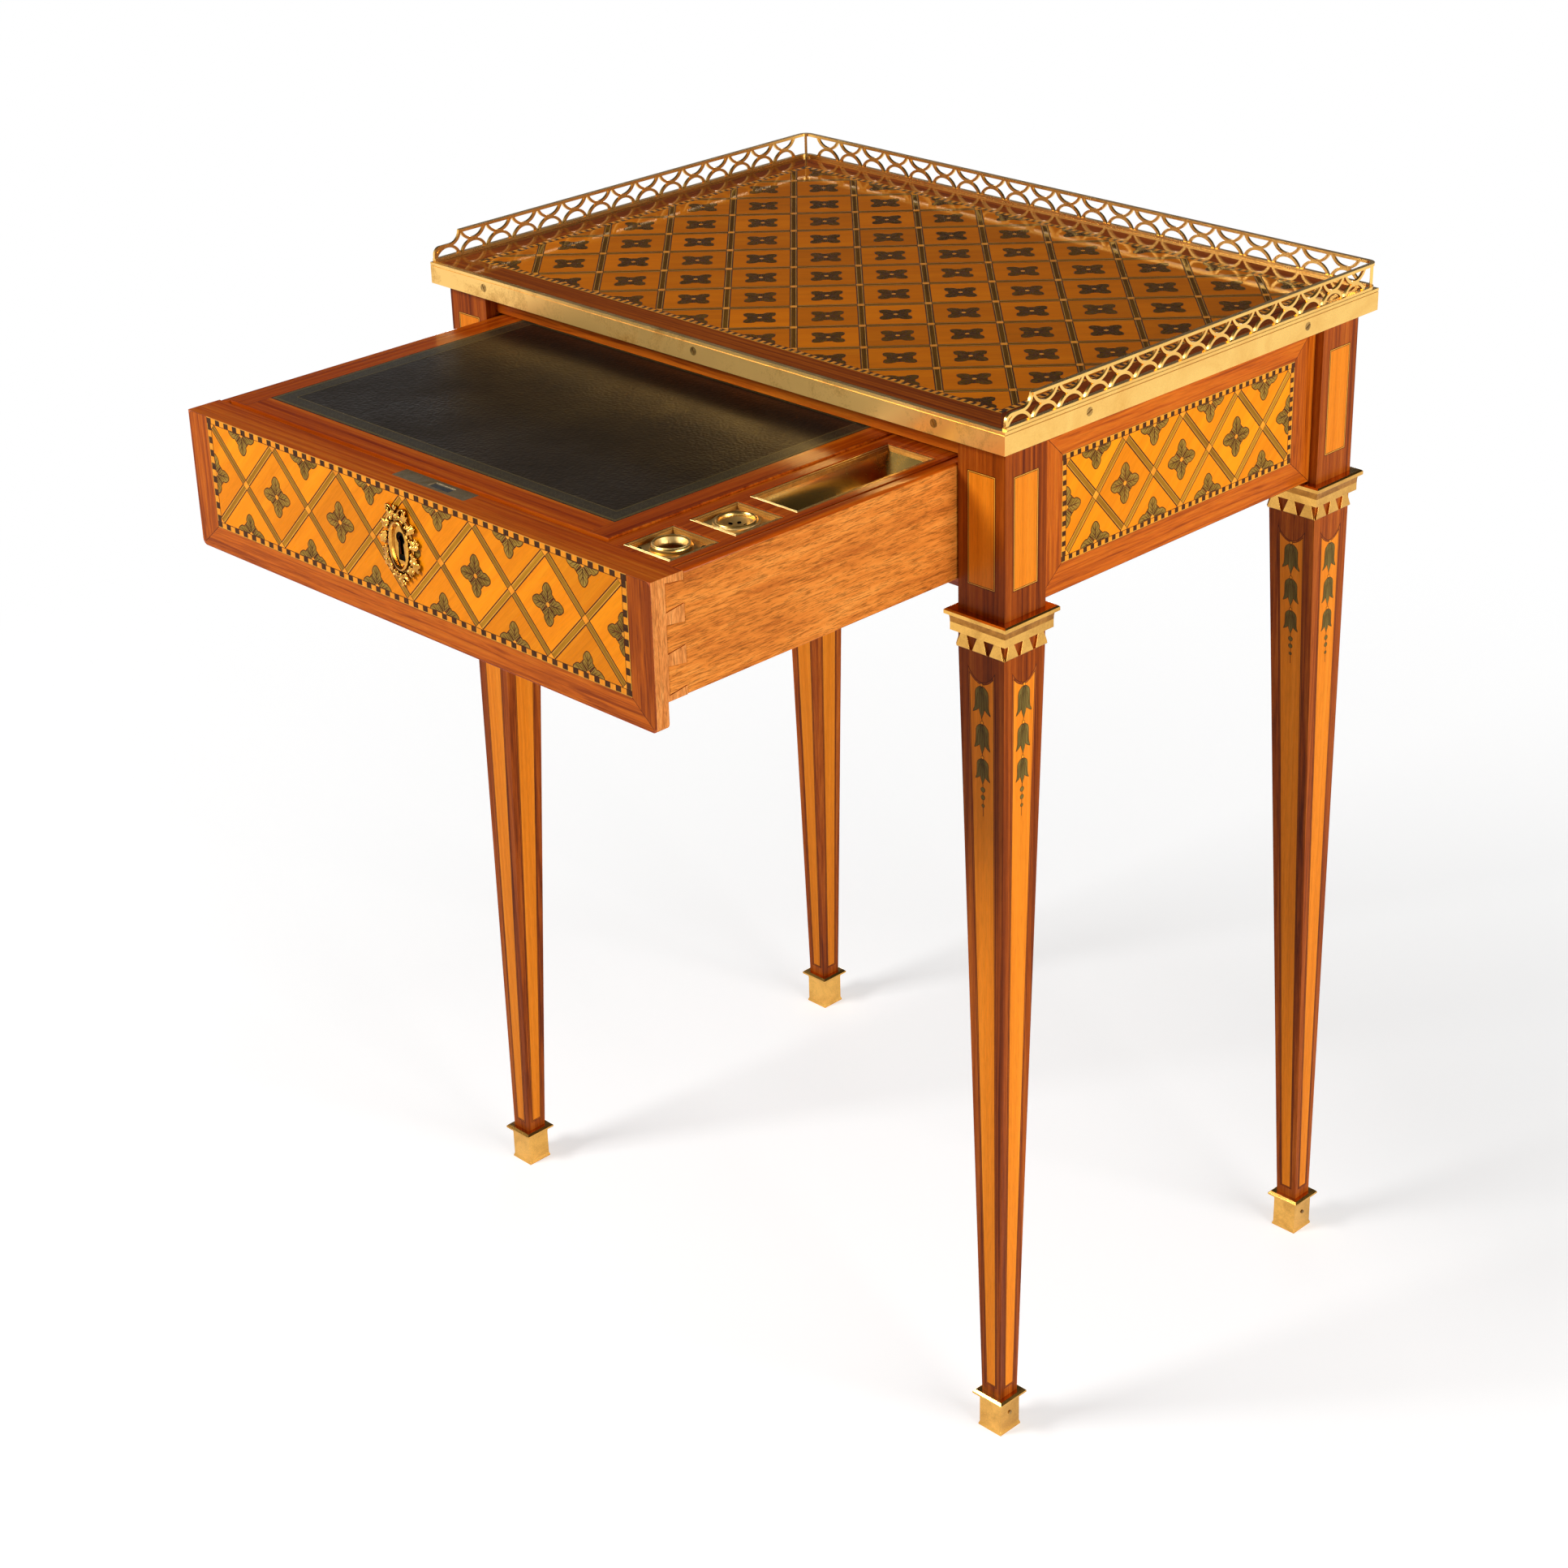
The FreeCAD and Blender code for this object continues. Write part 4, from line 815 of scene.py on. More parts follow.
@dataclass(frozen=True)
class Leather:
    """Grained calf: rounded pebbles with creases between them, polished where the hand rests."""

    name: str
    low: str
    high: str
    pebble: float = 1.3
    rough: tuple[float, float] = (0.34, 0.5)
    relief: float = 0.5

    def finish(self) -> bpy.types.Material:
        """Makes this leather, or finds it if it is made.

        Returns:
            The material.
        """
        if self.name in bpy.data.materials:
            return bpy.data.materials[self.name]
        made, tree = blank(self.name)
        place = add(tree, "ShaderNodeTexCoord").outputs["Object"]
        cells = add(tree, "ShaderNodeTexVoronoi", {"Vector": place, "Scale": 1 / (self.pebble * MM),
                                                   "Randomness": 0.9}, feature="SMOOTH_F1").outputs["Distance"]
        worn = add(tree, "ShaderNodeTexNoise", {"Vector": place, "Scale": 14.0, "Detail": 3.0}).outputs["Fac"]
        height = add(tree, "ShaderNodeMapRange", {"Value": cells, "From Min": 0.1, "From Max": 0.7,
                                                  "To Min": 1.0, "To Max": 0.0}).outputs[0]
        mixed = add(tree, "ShaderNodeMix", {"Factor": 0.4, "A": height, "B": worn}).outputs[0]
        colour = add(tree, "ShaderNodeMix", {0: mixed, 6: self.low, 7: self.high},
                     data_type="RGBA").outputs[2]
        gloss = add(tree, "ShaderNodeMapRange", {"Value": worn, "From Min": 0.35, "From Max": 0.65,
                                                 "To Min": self.rough[0], "To Max": self.rough[1]}).outputs[0]
        lie = add(tree, "ShaderNodeBump", {"Height": height, "Strength": self.relief, "Distance": 0.2 * MM}).outputs[0]
        shader = add(tree, "ShaderNodeBsdfPrincipled", {"Base Color": colour, "Roughness": gloss, "IOR": 1.5,
                                                        "Specular IOR Level": 0.28, "Normal": lie})
        add(tree, "ShaderNodeOutputMaterial", {"Surface": shader.outputs[0]})
        return made


# Kingwood veneer, scraped and French polished: red-brown streaks that wander through orange-brown wood.
KINGWOOD = Wood("kingwood", "#863606", "#BA580E", "#CC6E18", streak=3.4, length=90, spread=(0.38, 0.5, 0.66),
                wave=1.4, pores=0.1)
# The same wood from nearer the heart, on the legs and round the top: redder and darker.
HEART_KINGWOOD = Wood("kingwood_heart", "#5A2006", "#96430C", "#B8601A", streak=2.6, length=230, pores=0.12)
# On the top it lies under a deeper polish, and so does every other veneer there.
TOP_KINGWOOD = replace(HEART_KINGWOOD, name="kingwood_top", dark="#6A2604", middle="#A04A08", pale="#BC6012",
                       polish=0.05, shine=0.22)
# Satinwood veneer, polished: golden, with little figure and a silky cloud in it.
SATINWOOD = Wood("satinwood", "#DE7C04", "#EC8606", "#F6940C", streak=7, length=130, spread=(0.3, 0.5, 0.7),
                 pore=0.8, pores=0.05)
TOP_SATINWOOD = replace(SATINWOOD, name="satinwood_top", dark="#CC6E02", middle="#DE7602", pale="#E88206", polish=0.05,
                        shine=0.2)
LEG_SATINWOOD = replace(SATINWOOD, name="satinwood_leg", dark="#CE6E12", middle="#E07E18", pale="#EC8E26", streak=2.2,
                        length=260, pores=0.08)
# Orange-stained satinwood for the small squares and the flowers' eyes.
ORANGE_WOOD = Wood("stained_satinwood", "#DE8216", "#EE9222", "#F6A230", streak=3, length=40, pores=0.05)
# Sycamore dyed green, which has faded to olive brown.
OLIVE_WOOD = Wood("dyed_sycamore", "#785A18", "#947026", "#A68436", streak=1.5, length=16, pore=0.6, pores=0.12)
TOP_OLIVE = replace(OLIVE_WOOD, name="dyed_sycamore_top", dark="#4E380A", middle="#68480E", pale="#7E5A16",
                    polish=0.05, shine=0.22)
# The same on the legs, which has kept more of its green and is darker.
HUSK_WOOD = replace(OLIVE_WOOD, name="dyed_sycamore_husk", dark="#4E401A", middle="#6E5C28", pale="#8A763A")
# The trellis strips: the same dyed wood, cut with the grain.
STRIP_WOOD = Wood("dyed_sycamore_strip", "#8E5C0A", "#A87012", "#BE841E", streak=0.9, length=60, pore=0.5, pores=0.1)
TOP_STRIP = replace(STRIP_WOOD, name="dyed_sycamore_strip_top", dark="#5E3A06", middle="#774A08", pale="#8C5E10",
                    polish=0.05, shine=0.22)
# Stained pearwood for stringing, veins and outlines, and walnut for the dark squares.
STRING_WOOD = Wood("stained_pearwood", "#3A1604", "#4E1E06", "#62290A", streak=1, length=20)
DARK_SQUARE = Wood("walnut", "#301806", "#46260C", "#583412", streak=1.2, length=20)
# Box for the pale stringing.
PALE_STRING = Wood("boxwood", "#D08A28", "#E09E38", "#ECAE4A", streak=1, length=30, pores=0.05)
# Mahogany, planed and thinly polished, on the drawer's sides: orange brown with short dark pores.
SIDE_MAHOGANY = Wood("mahogany_side", "#A8561A", "#CC762A", "#DE8E3E", streak=6, length=60, spread=(0.32, 0.5, 0.68),
                     wave=1.6, pore=0.62, pores=0.25, edge=(0.39, 0.5), polish=0.45)
# The same wood cut across the grain, on the ends of the drawer's front: pinker, with pores like pinpricks.
END_MAHOGANY = replace(SIDE_MAHOGANY, name="mahogany_end", dark="#AC6028", middle="#CE7E3C", pale="#E09650", streak=2.5,
                       length=12, pore=0.6, pores=0.2, polish=0.55)
# Mahogany, French polished, on the drawer's edges and the writing slide: red and glossy.
RED_MAHOGANY = Wood("mahogany_polished", "#842A04", "#B44A08", "#D06A14", streak=3.4, length=210, pore=0.8, pores=0.12,
                    polish=0.14, shine=0.28)
# Oak left from the plane inside the carcase: pale, coarse and dull.
OAK = Wood("oak", "#8A6234", "#B08850", "#C8A26A", streak=3, length=140, pore=1.0, pores=0.3, polish=0.6, shine=0.1)

# Brass, cast, filed and burnished: pale warm yellow, with rubbed places.
BRIGHT_BRASS = Metal("burnished_brass", "#FFCE72", "#E0A44C", patch=45, cover=(0.42, 0.78), rough=(0.26, 0.4))
# The writing fittings are the same brass, left with the grey bloom of the acid dip.
SATIN_BRASS = Metal("dipped_brass", "#FFDC92", "#DCAA5A", patch=24, cover=(0.42, 0.7), rough=(0.46, 0.58), dents=0.03)
# The pen tray's brass is darker than the plates', as painted shade inside the deep tray, and the mounts' brass has
# warmed with age.
SHADED_TRAY_BRASS = Metal("scoured_brass", "#E8BC66", "#A67A34", patch=50, cover=(0.4, 0.7), rough=(0.2, 0.32), dents=0.05)
MOUNT_BRASS = Metal("aged_brass", "#EDB45A", "#B88238", patch=30, cover=(0.42, 0.74), rough=(0.18, 0.32), dents=0.06)
# The same brass darkened as painted shade: in the coves and on the undersides of the mounts, and on the steep steps of
# the plates' borders.
SHADED_BRASS = Metal("browned_brass", "#C8893A", "#7A4A1C", patch=10, cover=(0.3, 0.7), rough=(0.3, 0.45))
# And on the walls of the holes drilled in the pots' plates, made almost black as painted shade.
HOLE_SHADE_BRASS = Metal("inked_brass", "#2A1C0E", "#140C06", patch=6, cover=(0.4, 0.66), rough=(0.5, 0.65))
# The front band is brass that hands have dulled: brown clouds on gold.
DULL_BRASS = Metal("tarnished_brass", "#FFCE78", "#B47E34", patch=42, cover=(0.48, 0.68), rough=(0.38, 0.54),
                   dents=0.05)
# Bronze, cast, chased and mercury gilt: bright on the heights, and darkened in its recesses as painted shade.
GILT_BRONZE = Metal("mercury_gilt_bronze", "#F0B04C", "#B8792E", patch=10, cover=(0.4, 0.66), rough=(0.16, 0.3),
                    shaded_hollows=1.0)
# Iron of the lock's case, dark from its forge and oil, and made near black as painted shade for the deep keyhole; the
# same finish paints the keyhole's wooden walls and the plate behind the shield.
IRON_AND_KEYHOLE_SHADE = Metal("blackened_iron", "#15110D", "#080604", patch=14, cover=(0.4, 0.66), rough=(0.55, 0.7))
# Steel of the bolt, rubbed grey and a little blue, and its plate with brown in the scratches.
BOLT_STEEL = Metal("bolt_steel", "#9CA0A8", "#6E6C6C", patch=14, cover=(0.4, 0.66), rough=(0.34, 0.5))
WORN_PLATE = Metal("worn_lock_plate", "#D2BC94", "#98825E", patch=16, cover=(0.4, 0.66), rough=(0.42, 0.6))
# Brass screws with brown in the slots.
SCREW_METAL = Metal("brass_screw", "#C89C54", "#7A5C34", patch=5, cover=(0.4, 0.6), rough=(0.3, 0.45))

# Calf on the writing slide, black-brown, pebbled and polished by sleeves.
CALF = Leather("calf", "#140E08", "#2C2116", pebble=2.0, relief=0.9)
# The tooled border, pressed flat: smoother and a little greener than the field.
TOOLED_CALF = Leather("tooled_calf", "#221C12", "#3A3122", pebble=0.9, rough=(0.3, 0.42), relief=0.25)
# The outer lines of the border with worn gilding in them, and the lines and rings that have lost it.
GILT_LINE = Leather("gilded_line", "#6A5A34", "#A08850", pebble=0.7, rough=(0.3, 0.42), relief=0.2)
TOOLING = Leather("tooled_line", "#342E1E", "#524834", pebble=0.7, rough=(0.3, 0.42), relief=0.2)


# ------------------------------------------------------------ marquetry


@dataclass(frozen=True)
class Flower:
    """A four-leaved flower of dyed veneer round a stained eye.

    A leaf and its veins are drawn from ribs: how far out, the middle line, and half the width, in mm.
    """

    eye: float = 1.9
    rim: float = 0.6
    eye_rim: float = 0.3
    wood: Wood = OLIVE_WOOD
    blade: tuple[Triple, ...] = (
        (0.8, 0, 0.8), (2.0, 0, 1.9), (3.4, 0, 3.3), (4.6, 0, 4.8), (5.6, 0, 5.6), (6.4, 0, 5.4), (7.0, 0, 4.5),
        (7.6, 0, 4.1), (8.6, 0, 4.4), (9.8, 0, 4.2), (11.2, 0, 3.5), (12.4, 0, 2.6), (13.3, 0, 1.7), (13.8, 0, 0.8))
    midrib: tuple[Triple, ...] = ((2.2, 0, 0.34), (7, 0, 0.36), (12.4, 0, 0.12))
    veins: tuple[tuple[Triple, ...], ...] = (
        ((2.8, 0.6, 0.26), (4.6, 2.4, 0.34), (6.2, 4.5, 0.1)), ((4.4, 0.4, 0.22), (6.2, 1.6, 0.28), (8.0, 3.0, 0.1)),
        ((7.4, 0.3, 0.2), (9.2, 1.4, 0.26), (11.0, 2.4, 0.1)))
    turns: tuple[Point, ...] = ((90, 0.08), (180, -0.06), (270, 0.04))

    def leaf(self) -> Piece:
        """Draws one leaf along x with its outline and veins.

        Returns:
            The leaf.
        """
        blade = grown("leaf", self.blade, Layer.LEAF)
        dressed(blade, STRING_WOOD.finish(), self.wood.finish())
        rimmed(blade, [self.rim])
        veins = [grown("vein", self.midrib, Layer.VEIN)]
        for side in (1, -1):
            veins += [grown("vein", [(out, side * off, half) for out, off, half in vein], Layer.VEIN)
                      for vein in self.veins]
        for vein in veins:
            dressed(vein, STRING_WOOD.finish())
        for part in (blade, *veins):
            set_grain(part, 0)
        return joined("leaf", [blade, *veins])

    def draw(self) -> Piece:
        """Draws the whole flower about the origin, its leaves turned and toned one by one.

        Returns:
            The flower.
        """
        leaf = self.leaf()
        leaves = [leaf] + [copied(leaf, turn=turn, tone=tone) for turn, tone in self.turns]
        eye = dressed(disc("eye", self.eye, Layer.EYE), STRING_WOOD.finish(), ORANGE_WOOD.finish())
        rimmed(eye, [self.eye_rim])
        set_grain(eye, 0)
        set_tone(eye, 0.0)
        return joined("flower", [*leaves, eye])


@dataclass(frozen=True)
class Chequer:
    """A row of dark and pale squares between two fine lines."""

    width: float = 3.9
    line: float = 0.4
    square: float = 3.5

    def run(self, name: str, start: Point, length: float, upright: bool = False, outside: int = -1) -> Piece:
        """Draws one run from a corner, to the right or upwards.

        Args:
            name: the run's name.
            start: its lower left corner in mm.
            length: how long it is.
            upright: whether it runs upwards.
            outside: which of its sides has the pale line, 1 for its own left and -1 for its own right.

        Returns:
            The piece.
        """
        count = max(3, 2 * round(length / self.square / 2) + 1)
        middle = (length / 2, self.width / 2, Layer.CHEQUER)
        bpy.ops.mesh.primitive_grid_add(x_subdivisions=count, y_subdivisions=3, size=MM, calc_uvs=False,
                                        location=tuple(c * MM for c in middle))
        piece = bpy.context.active_object
        with opened(piece, "VERT"):
            stretch(length, self.width, 1, middle)
        joined(name, [piece])
        inner = self.width / 2 - self.line
        with opened(piece, "VERT"):
            pick_points(piece, lambda p: abs(p.y - middle[1]) < self.width * 0.3)
            stretch(1, inner / (self.width / 6), 1, middle)
        dressed(piece, DARK_SQUARE.finish(), ORANGE_WOOD.finish(), STRING_WOOD.finish(), PALE_STRING.finish())
        step = length / count
        paint(piece, lambda m: int(m.x / step) % 2 if abs(m.y - middle[1]) < inner
              else 3 if (m.y - middle[1]) * outside > 0 else 2)
        set_grain(piece, 90)
        if upright:
            return settled(name, piece, start[0] + self.width, start[1], turn=90)
        return settled(name, piece, *start)

    def frame(self, name: str, half: Point) -> Piece:
        """Draws the four runs round a field, about the origin.

        Args:
            name: the frame's name.
            half: half the outer width and height, in mm.

        Returns:
            The piece.
        """
        w, h = half
        tall = 2 * h - 2 * self.width
        runs = [self.run("run", (-w, -h), 2 * w), self.run("run", (-w, h - self.width), 2 * w, outside=1),
                self.run("run", (-w, -h + self.width), tall, True, 1),
                self.run("run", (w - self.width, -h + self.width), tall, True)]
        return joined(name, runs)

    def corners(self, half: Point) -> tuple[Point, Point]:
        """The lower left and upper right corners of the frame round a field of half a width and half a height."""
        return (-half[0] - self.width, -half[1] - self.width), (half[0] + self.width, half[1] + self.width)


@dataclass(frozen=True)
class Trellis:
    """A field of trellis marquetry: diamonds with a flower in each, between crossing strips.

    The lanes are how far the pale line and the olive middle of a strip reach from its centre line, in mm, and
    the tones are those of the strips that rise to the right and to the left.
    """

    name: str
    half: Point
    pitch: Point
    body: str
    grain: float = 45.0
    strip: float = 5.2
    lanes: Point = (1.8, 1.4)
    tones: Point = (0.14, -0.22)
    joint: float = 0.35
    spare: float = 60.0
    flower: Flower = Flower()
    chequer: Chequer = Chequer()
    wood: Wood = SATINWOOD
    strip_wood: Wood = STRIP_WOOD
    window: tuple[Point, Point] | None = None

    def cells(self) -> list[tuple[int, int]]:
        """Counts out the diamonds that reach into the field.

        Returns:
            Their places from the middle, in half pitches.
        """
        wide, high = (int(self.half[k] / self.pitch[k] * 2 + 1.9) for k in (0, 1))
        return [(i, j) for i in range(-wide, wide + 1) for j in range(-high, high + 1) if (i + j) % 2 == 0]

    def tone(self, i: int, j: int) -> float:
        """How much lighter or darker one diamond is than its fellows: two waves that never fall in step."""
        return 0.09 * math.sin(12.9 * i + 78.2 * j) + 0.05 * math.sin(4.1 * i - 9.7 * j)

    def spread(self, name: str, pattern: Piece, spots: Sequence[Triple]) -> Piece:
        """Copies a drawn shape over the field and trims the lot to it.

        Args:
            name: the name of the whole.
            pattern: the shape, which is thrown away.
            spots: where the copies go, in half pitches, and their tones.

        Returns:
            The whole.
        """
        across, up = self.pitch[0] / 2, self.pitch[1] / 2
        twins = [copied(pattern, x * across, y * up, tone=tone) for x, y, tone in spots]
        dropped(pattern)
        piece = joined(name, twins)
        trimmed(piece, (-self.half[0], -self.half[1]), self.half)
        return piece

    def ground(self) -> Piece:
        """Draws the satinwood diamonds, each with its own tone.

        Returns:
            The ground.
        """
        cell = dressed(diamond("cell", *self.pitch, Layer.GROUND), self.wood.finish())
        set_grain(cell, self.grain)
        return self.spread(f"{self.name}_ground", cell, [(i, j, self.tone(i, j)) for i, j in self.cells()])

    def strips(self) -> Piece:
        """Draws the crossing strips: dark, pale, olive, pale and dark lanes side by side.

        Returns:
            The strips.
        """
        long = 2 * math.hypot(*self.half) + self.spare
        slope = math.degrees(math.atan2(self.pitch[1], self.pitch[0]))
        reach = self.half[0] + self.half[1] * self.pitch[0] / self.pitch[1]
        count = int(reach / self.pitch[0] + 1)
        pale, olive = self.lanes
        runs = []
        for way, tone, z in zip((1, -1), self.tones, (Layer.STRIP, Layer.UPPER_STRIP)):
            lane = rectangle("strip", (-long / 2, -self.strip / 2), (long / 2, self.strip / 2), z)
            with opened(lane):
                for y in (-pale, -olive, olive, pale):
                    saw((0, y, z), (0, 1, 0))
            dressed(lane, STRING_WOOD.finish(), PALE_STRING.finish(), self.strip_wood.finish())
            paint(lane, lambda m: 0 if abs(m.y) > pale else 1 if abs(m.y) > olive else 2)
            set_grain(lane, 0)
            for k in range(-count - 1, count + 1):
                x = (k + 0.5) * self.pitch[0]
                if abs(x) < reach:
                    runs.append(copied(lane, x, 0, way * slope, tone + 0.05 * math.sin(5.3 * k + way)))
            dropped(lane)
        piece = joined(f"{self.name}_strips", runs)
        trimmed(piece, (-self.half[0], -self.half[1]), self.half)
        return piece

    def crossings(self) -> Piece:
        """Draws the small stained squares where the strips cross.

        Returns:
            The squares.
        """
        slope = math.atan2(self.pitch[1], self.pitch[0])
        spot = diamond("crossing", self.strip / math.sin(slope), self.strip / math.cos(slope), Layer.CROSSING)
        dressed(spot, STRING_WOOD.finish(), ORANGE_WOOD.finish())
        rimmed(spot, [self.joint])
        set_grain(spot, 45)
        return self.spread(f"{self.name}_crossings", spot,
                           [(i + 1, j, 0.08 * math.sin(7 * i + j)) for i, j in self.cells()])

    def flowers(self) -> Piece:
        """Draws a flower in the middle of each diamond.

        Returns:
            The flowers.
        """
        return self.spread(f"{self.name}_flowers", self.flower.draw(),
                           [(i, j, 0.7 * self.tone(j, i)) for i, j in self.cells()])

    def build(self, bed: Bed) -> None:
        """Draws the field and lays it.

        Args:
            bed: the face of the carcase that it is laid on.
        """
        outer = self.chequer.corners(self.half)[1]
        parts = [(self.ground(), "satinwood"), (self.strips(), "green_veneer"), (self.crossings(), "satinwood"),
                 (self.flowers(), "green_veneer"), (self.chequer.frame(f"{self.name}_chequer", outer), "light_veneer")]
        for piece, slot in parts:
            if self.window:
                windowed(piece, *self.window)
            placed(piece, self.body, bed, thick=VENEER)


class Side(Enum):
    """The sides of a field, in the order that their corners run."""

    BOTTOM, RIGHT, TOP, LEFT = range(4)


@dataclass(frozen=True)
class CrossBanding:
    """Veneer bands round a field, each with its grain lengthwise and a fine dark joint all round."""

    name: str
    body: str
    outer: tuple[Point, Point]
    inner: tuple[Point, Point]
    wood: Wood = KINGWOOD
    sides: tuple[Side, ...] = tuple(Side)
    rounded: float = 0
    slot: str = "kingwood"
    joint: float = 0.2
    tones: tuple[float, ...] = (0.05, -0.06, 0.02, -0.03)

    def build(self, bed: Bed) -> None:
        """Draws the bands and lays them.

        Args:
            bed: the face of the carcase that they are laid on.
        """
        (x0, y0), (x1, y1) = self.outer
        (a0, b0), (a1, b1) = self.inner
        edge = [(x0, y0), (x1, y0), (x1, y1), (x0, y1)]
        field = [(a0, b0), (a1, b0), (a1, b1), (a0, b1)]
        middle, half = ((x0 + x1) / 2, (y0 + y1) / 2), ((x1 - x0) / 2, (y1 - y0) / 2)
        bands = []
        for side in self.sides:
            here, there = side.value, (side.value + 1) % 4
            corners = [edge[here], edge[there], field[there], field[here]]
            band = four_sided(side.name.lower(), [corners[(k - here) % 4] for k in range(4)], Layer.GROUND)
            if self.rounded:
                with opened(band, "VERT"):
                    pick_points(band, lambda p: all(abs(abs(p[k] - middle[k]) - half[k]) < 10 * NEAR for k in (0, 1)))
                    bpy.ops.mesh.bevel(offset=self.rounded * MM, segments=4, affect="VERTICES")
            dressed(band, STRING_WOOD.finish(), self.wood.finish())
            rimmed(band, [self.joint])
            set_grain(band, 90 * (here % 2))
            set_tone(band, self.tones[here])
            bands.append(band)
        placed(joined(self.name, bands), self.body, bed, thick=VENEER)


@dataclass(frozen=True)
class Husk:
    """One bellflower: three petals that hang from a bud.

    The petals' ribs are given as shares: how far down the husk, then the middle line and half the width
    over half the shoulder, or over half the flare at the tips.
    """

    top: float
    tip: float
    shoulder: float
    flare: float
    outline: float = 0.3
    side: tuple[Triple, ...] = (
        (0, 0.16, 0.16), (0.05, 0.30, 0.30), (0.12, 0.45, 0.43), (0.22, 0.52, 0.48), (0.4, 0.55, 0.46),
        (0.58, 0.61, 0.41), (0.7, 0.74, 0.34))
    tips: tuple[Triple, ...] = ((0.78, 0.77, 0.18), (0.84, 0.95, 0.05))
    front: tuple[Triple, ...] = (
        (0.02, 0, 0.1), (0.1, 0, 0.28), (0.3, 0, 0.42), (0.55, 0, 0.46), (0.7, 0, 0.42), (0.82, 0, 0.28),
        (0.92, 0, 0.12), (1, 0, 0.03))
    veins: tuple[Triple, ...] = ((0, 0.16, 0.84), (0.24, 0.2, 0.66), (-0.24, 0.2, 0.66), (0.72, 0.22, 0.68),
                                 (-0.72, 0.22, 0.68))

    def draw(self) -> Piece:
        """Draws the husk pointing down the y axis, with its outlines and veins.

        Returns:
            The husk.
        """
        long = self.top - self.tip
        s, f = self.shoulder / 2, self.flare / 2
        parts = []
        for hand in (1, -1):
            ribs = [(a * long, hand * o * s, h * s) for a, o, h in self.side]
            ribs += [(a * long, hand * o * f, h * f) for a, o, h in self.tips]
            parts.append(grown("petal", ribs, Layer.LEAF))
        parts.append(grown("petal", [(a * long, o * s, h * s) for a, o, h in self.front], Layer.PETAL))
        for petal in parts:
            dressed(petal, STRING_WOOD.finish(), HUSK_WOOD.finish())
            rimmed(petal, [self.outline])
        for off, start, end in self.veins:
            vein = [(start * long, off * s * 0.8, 0.14), (end * long, off * s * 1.15, 0.05)]
            parts.append(dressed(grown("vein", vein, Layer.HUSK_VEIN), STRING_WOOD.finish()))
        for part in parts:
            set_grain(part, 0)
        return settled("husk", joined("husk", parts), 0, self.top, turn=-90)


@dataclass(frozen=True)
class LegInlay:
    """The inlay on one tapered face of a leg: a dipped satinwood panel with a drop of husks.

    Heights are from the top of the shoe, and widths from the plumb edge of the leg.
    """

    low: float = 17.0
    high: float = 38.0
    tall: float = 557.5
    margin: float = 0.2
    foot: float = 7.0
    horns: float = 547.1
    dip: float = 9.0
    cuts: int = 10
    lines: Triple = (0.45, 0.7, 0.45)
    husks: tuple[Husk, ...] = (Husk(535.5, 513.3, 11.3, 14.8), Husk(509.8, 489.2, 10.7, 13.4),
                               Husk(486.0, 468.3, 9.8, 12.4))
    links: Point = (1.0, 1.3)
    beads: tuple[Point, ...] = ((464.6, 1.9), (459.2, 1.8), (453.4, 1.3))
    outline: float = 0.3
    stem: float = 446.0
    stem_half: float = 0.2

    def width(self, y: float) -> float:
        """The leg's width at a height."""
        return self.low + (self.high - self.low) * y / self.tall

    def middle(self, y: float) -> float:
        """How far the face's middle line is from the plumb edge at a height."""
        return self.width(y) / 2

    def panel(self) -> Piece:
        """Draws the long panel with its concave top and its three fine lines.

        Returns:
            The panel.
        """
        m, top, foot = self.margin, self.horns, self.foot
        left, right = m * self.width(top), (1 - m) * self.width(top)
        piece = four_sided("panel", [(m * self.width(foot), foot), ((1 - m) * self.width(foot), foot),
                                     (right, top), (left, top)], Layer.GROUND)
        with opened(piece, "EDGE"):
            pick_points(piece, lambda p: p.y > top - 1)
            bpy.ops.mesh.subdivide(number_cuts=self.cuts - 1)
            bpy.ops.mesh.select_mode(type="VERT")
            for n in range(1, self.cuts):
                x = left + (right - left) * n / self.cuts
                pick_points(piece, lambda p: p.y > top - 0.5 and abs(p.x - x) < 0.3)
                slide(0, -self.dip * math.sin(math.pi * n / self.cuts) ** 0.8)
        dressed(piece, STRING_WOOD.finish(), HEART_KINGWOOD.finish(), STRING_WOOD.finish(), LEG_SATINWOOD.finish())
        rimmed(piece, self.lines)
        set_grain(piece, 90)
        return piece

    def drop(self) -> Piece:
        """Draws the husks, the small links between them and the beads below.

        Returns:
            The drop.
        """
        parts = []
        for husk in self.husks:
            piece = husk.draw()
            piece.location.x = self.middle(husk.top - 12) * MM
            parts.append(piece)
        rise, link = self.links
        for y, radius in [(husk.top + rise, link) for husk in self.husks] + list(self.beads):
            bead = y < self.husks[-1].tip
            spot = disc("bead", radius, Layer.BEAD, middle=(self.middle(y), y))
            dressed(spot, STRING_WOOD.finish(), HUSK_WOOD.finish() if bead else ORANGE_WOOD.finish())
            rimmed(spot, [self.outline])
            set_grain(spot, 90)
            parts.append(spot)
        half = self.stem_half
        for husk, low in zip(self.husks, (self.husks[1].top, self.husks[2].top, self.stem)):
            foot, head = self.middle(low), self.middle(husk.tip)
            stem = four_sided("stem", [(foot - half, low), (foot + half, low), (head + half, husk.tip),
                                       (head - half, husk.tip)], Layer.UPPER_STRIP)
            set_grain(dressed(stem, STRING_WOOD.finish()), 90)
            parts.append(stem)
        return joined("drop", parts)

    def draw(self) -> tuple[Piece, Piece]:
        """Draws the panel and the drop, for a face whose plumb edge is on the left."""
        return self.panel(), self.drop()


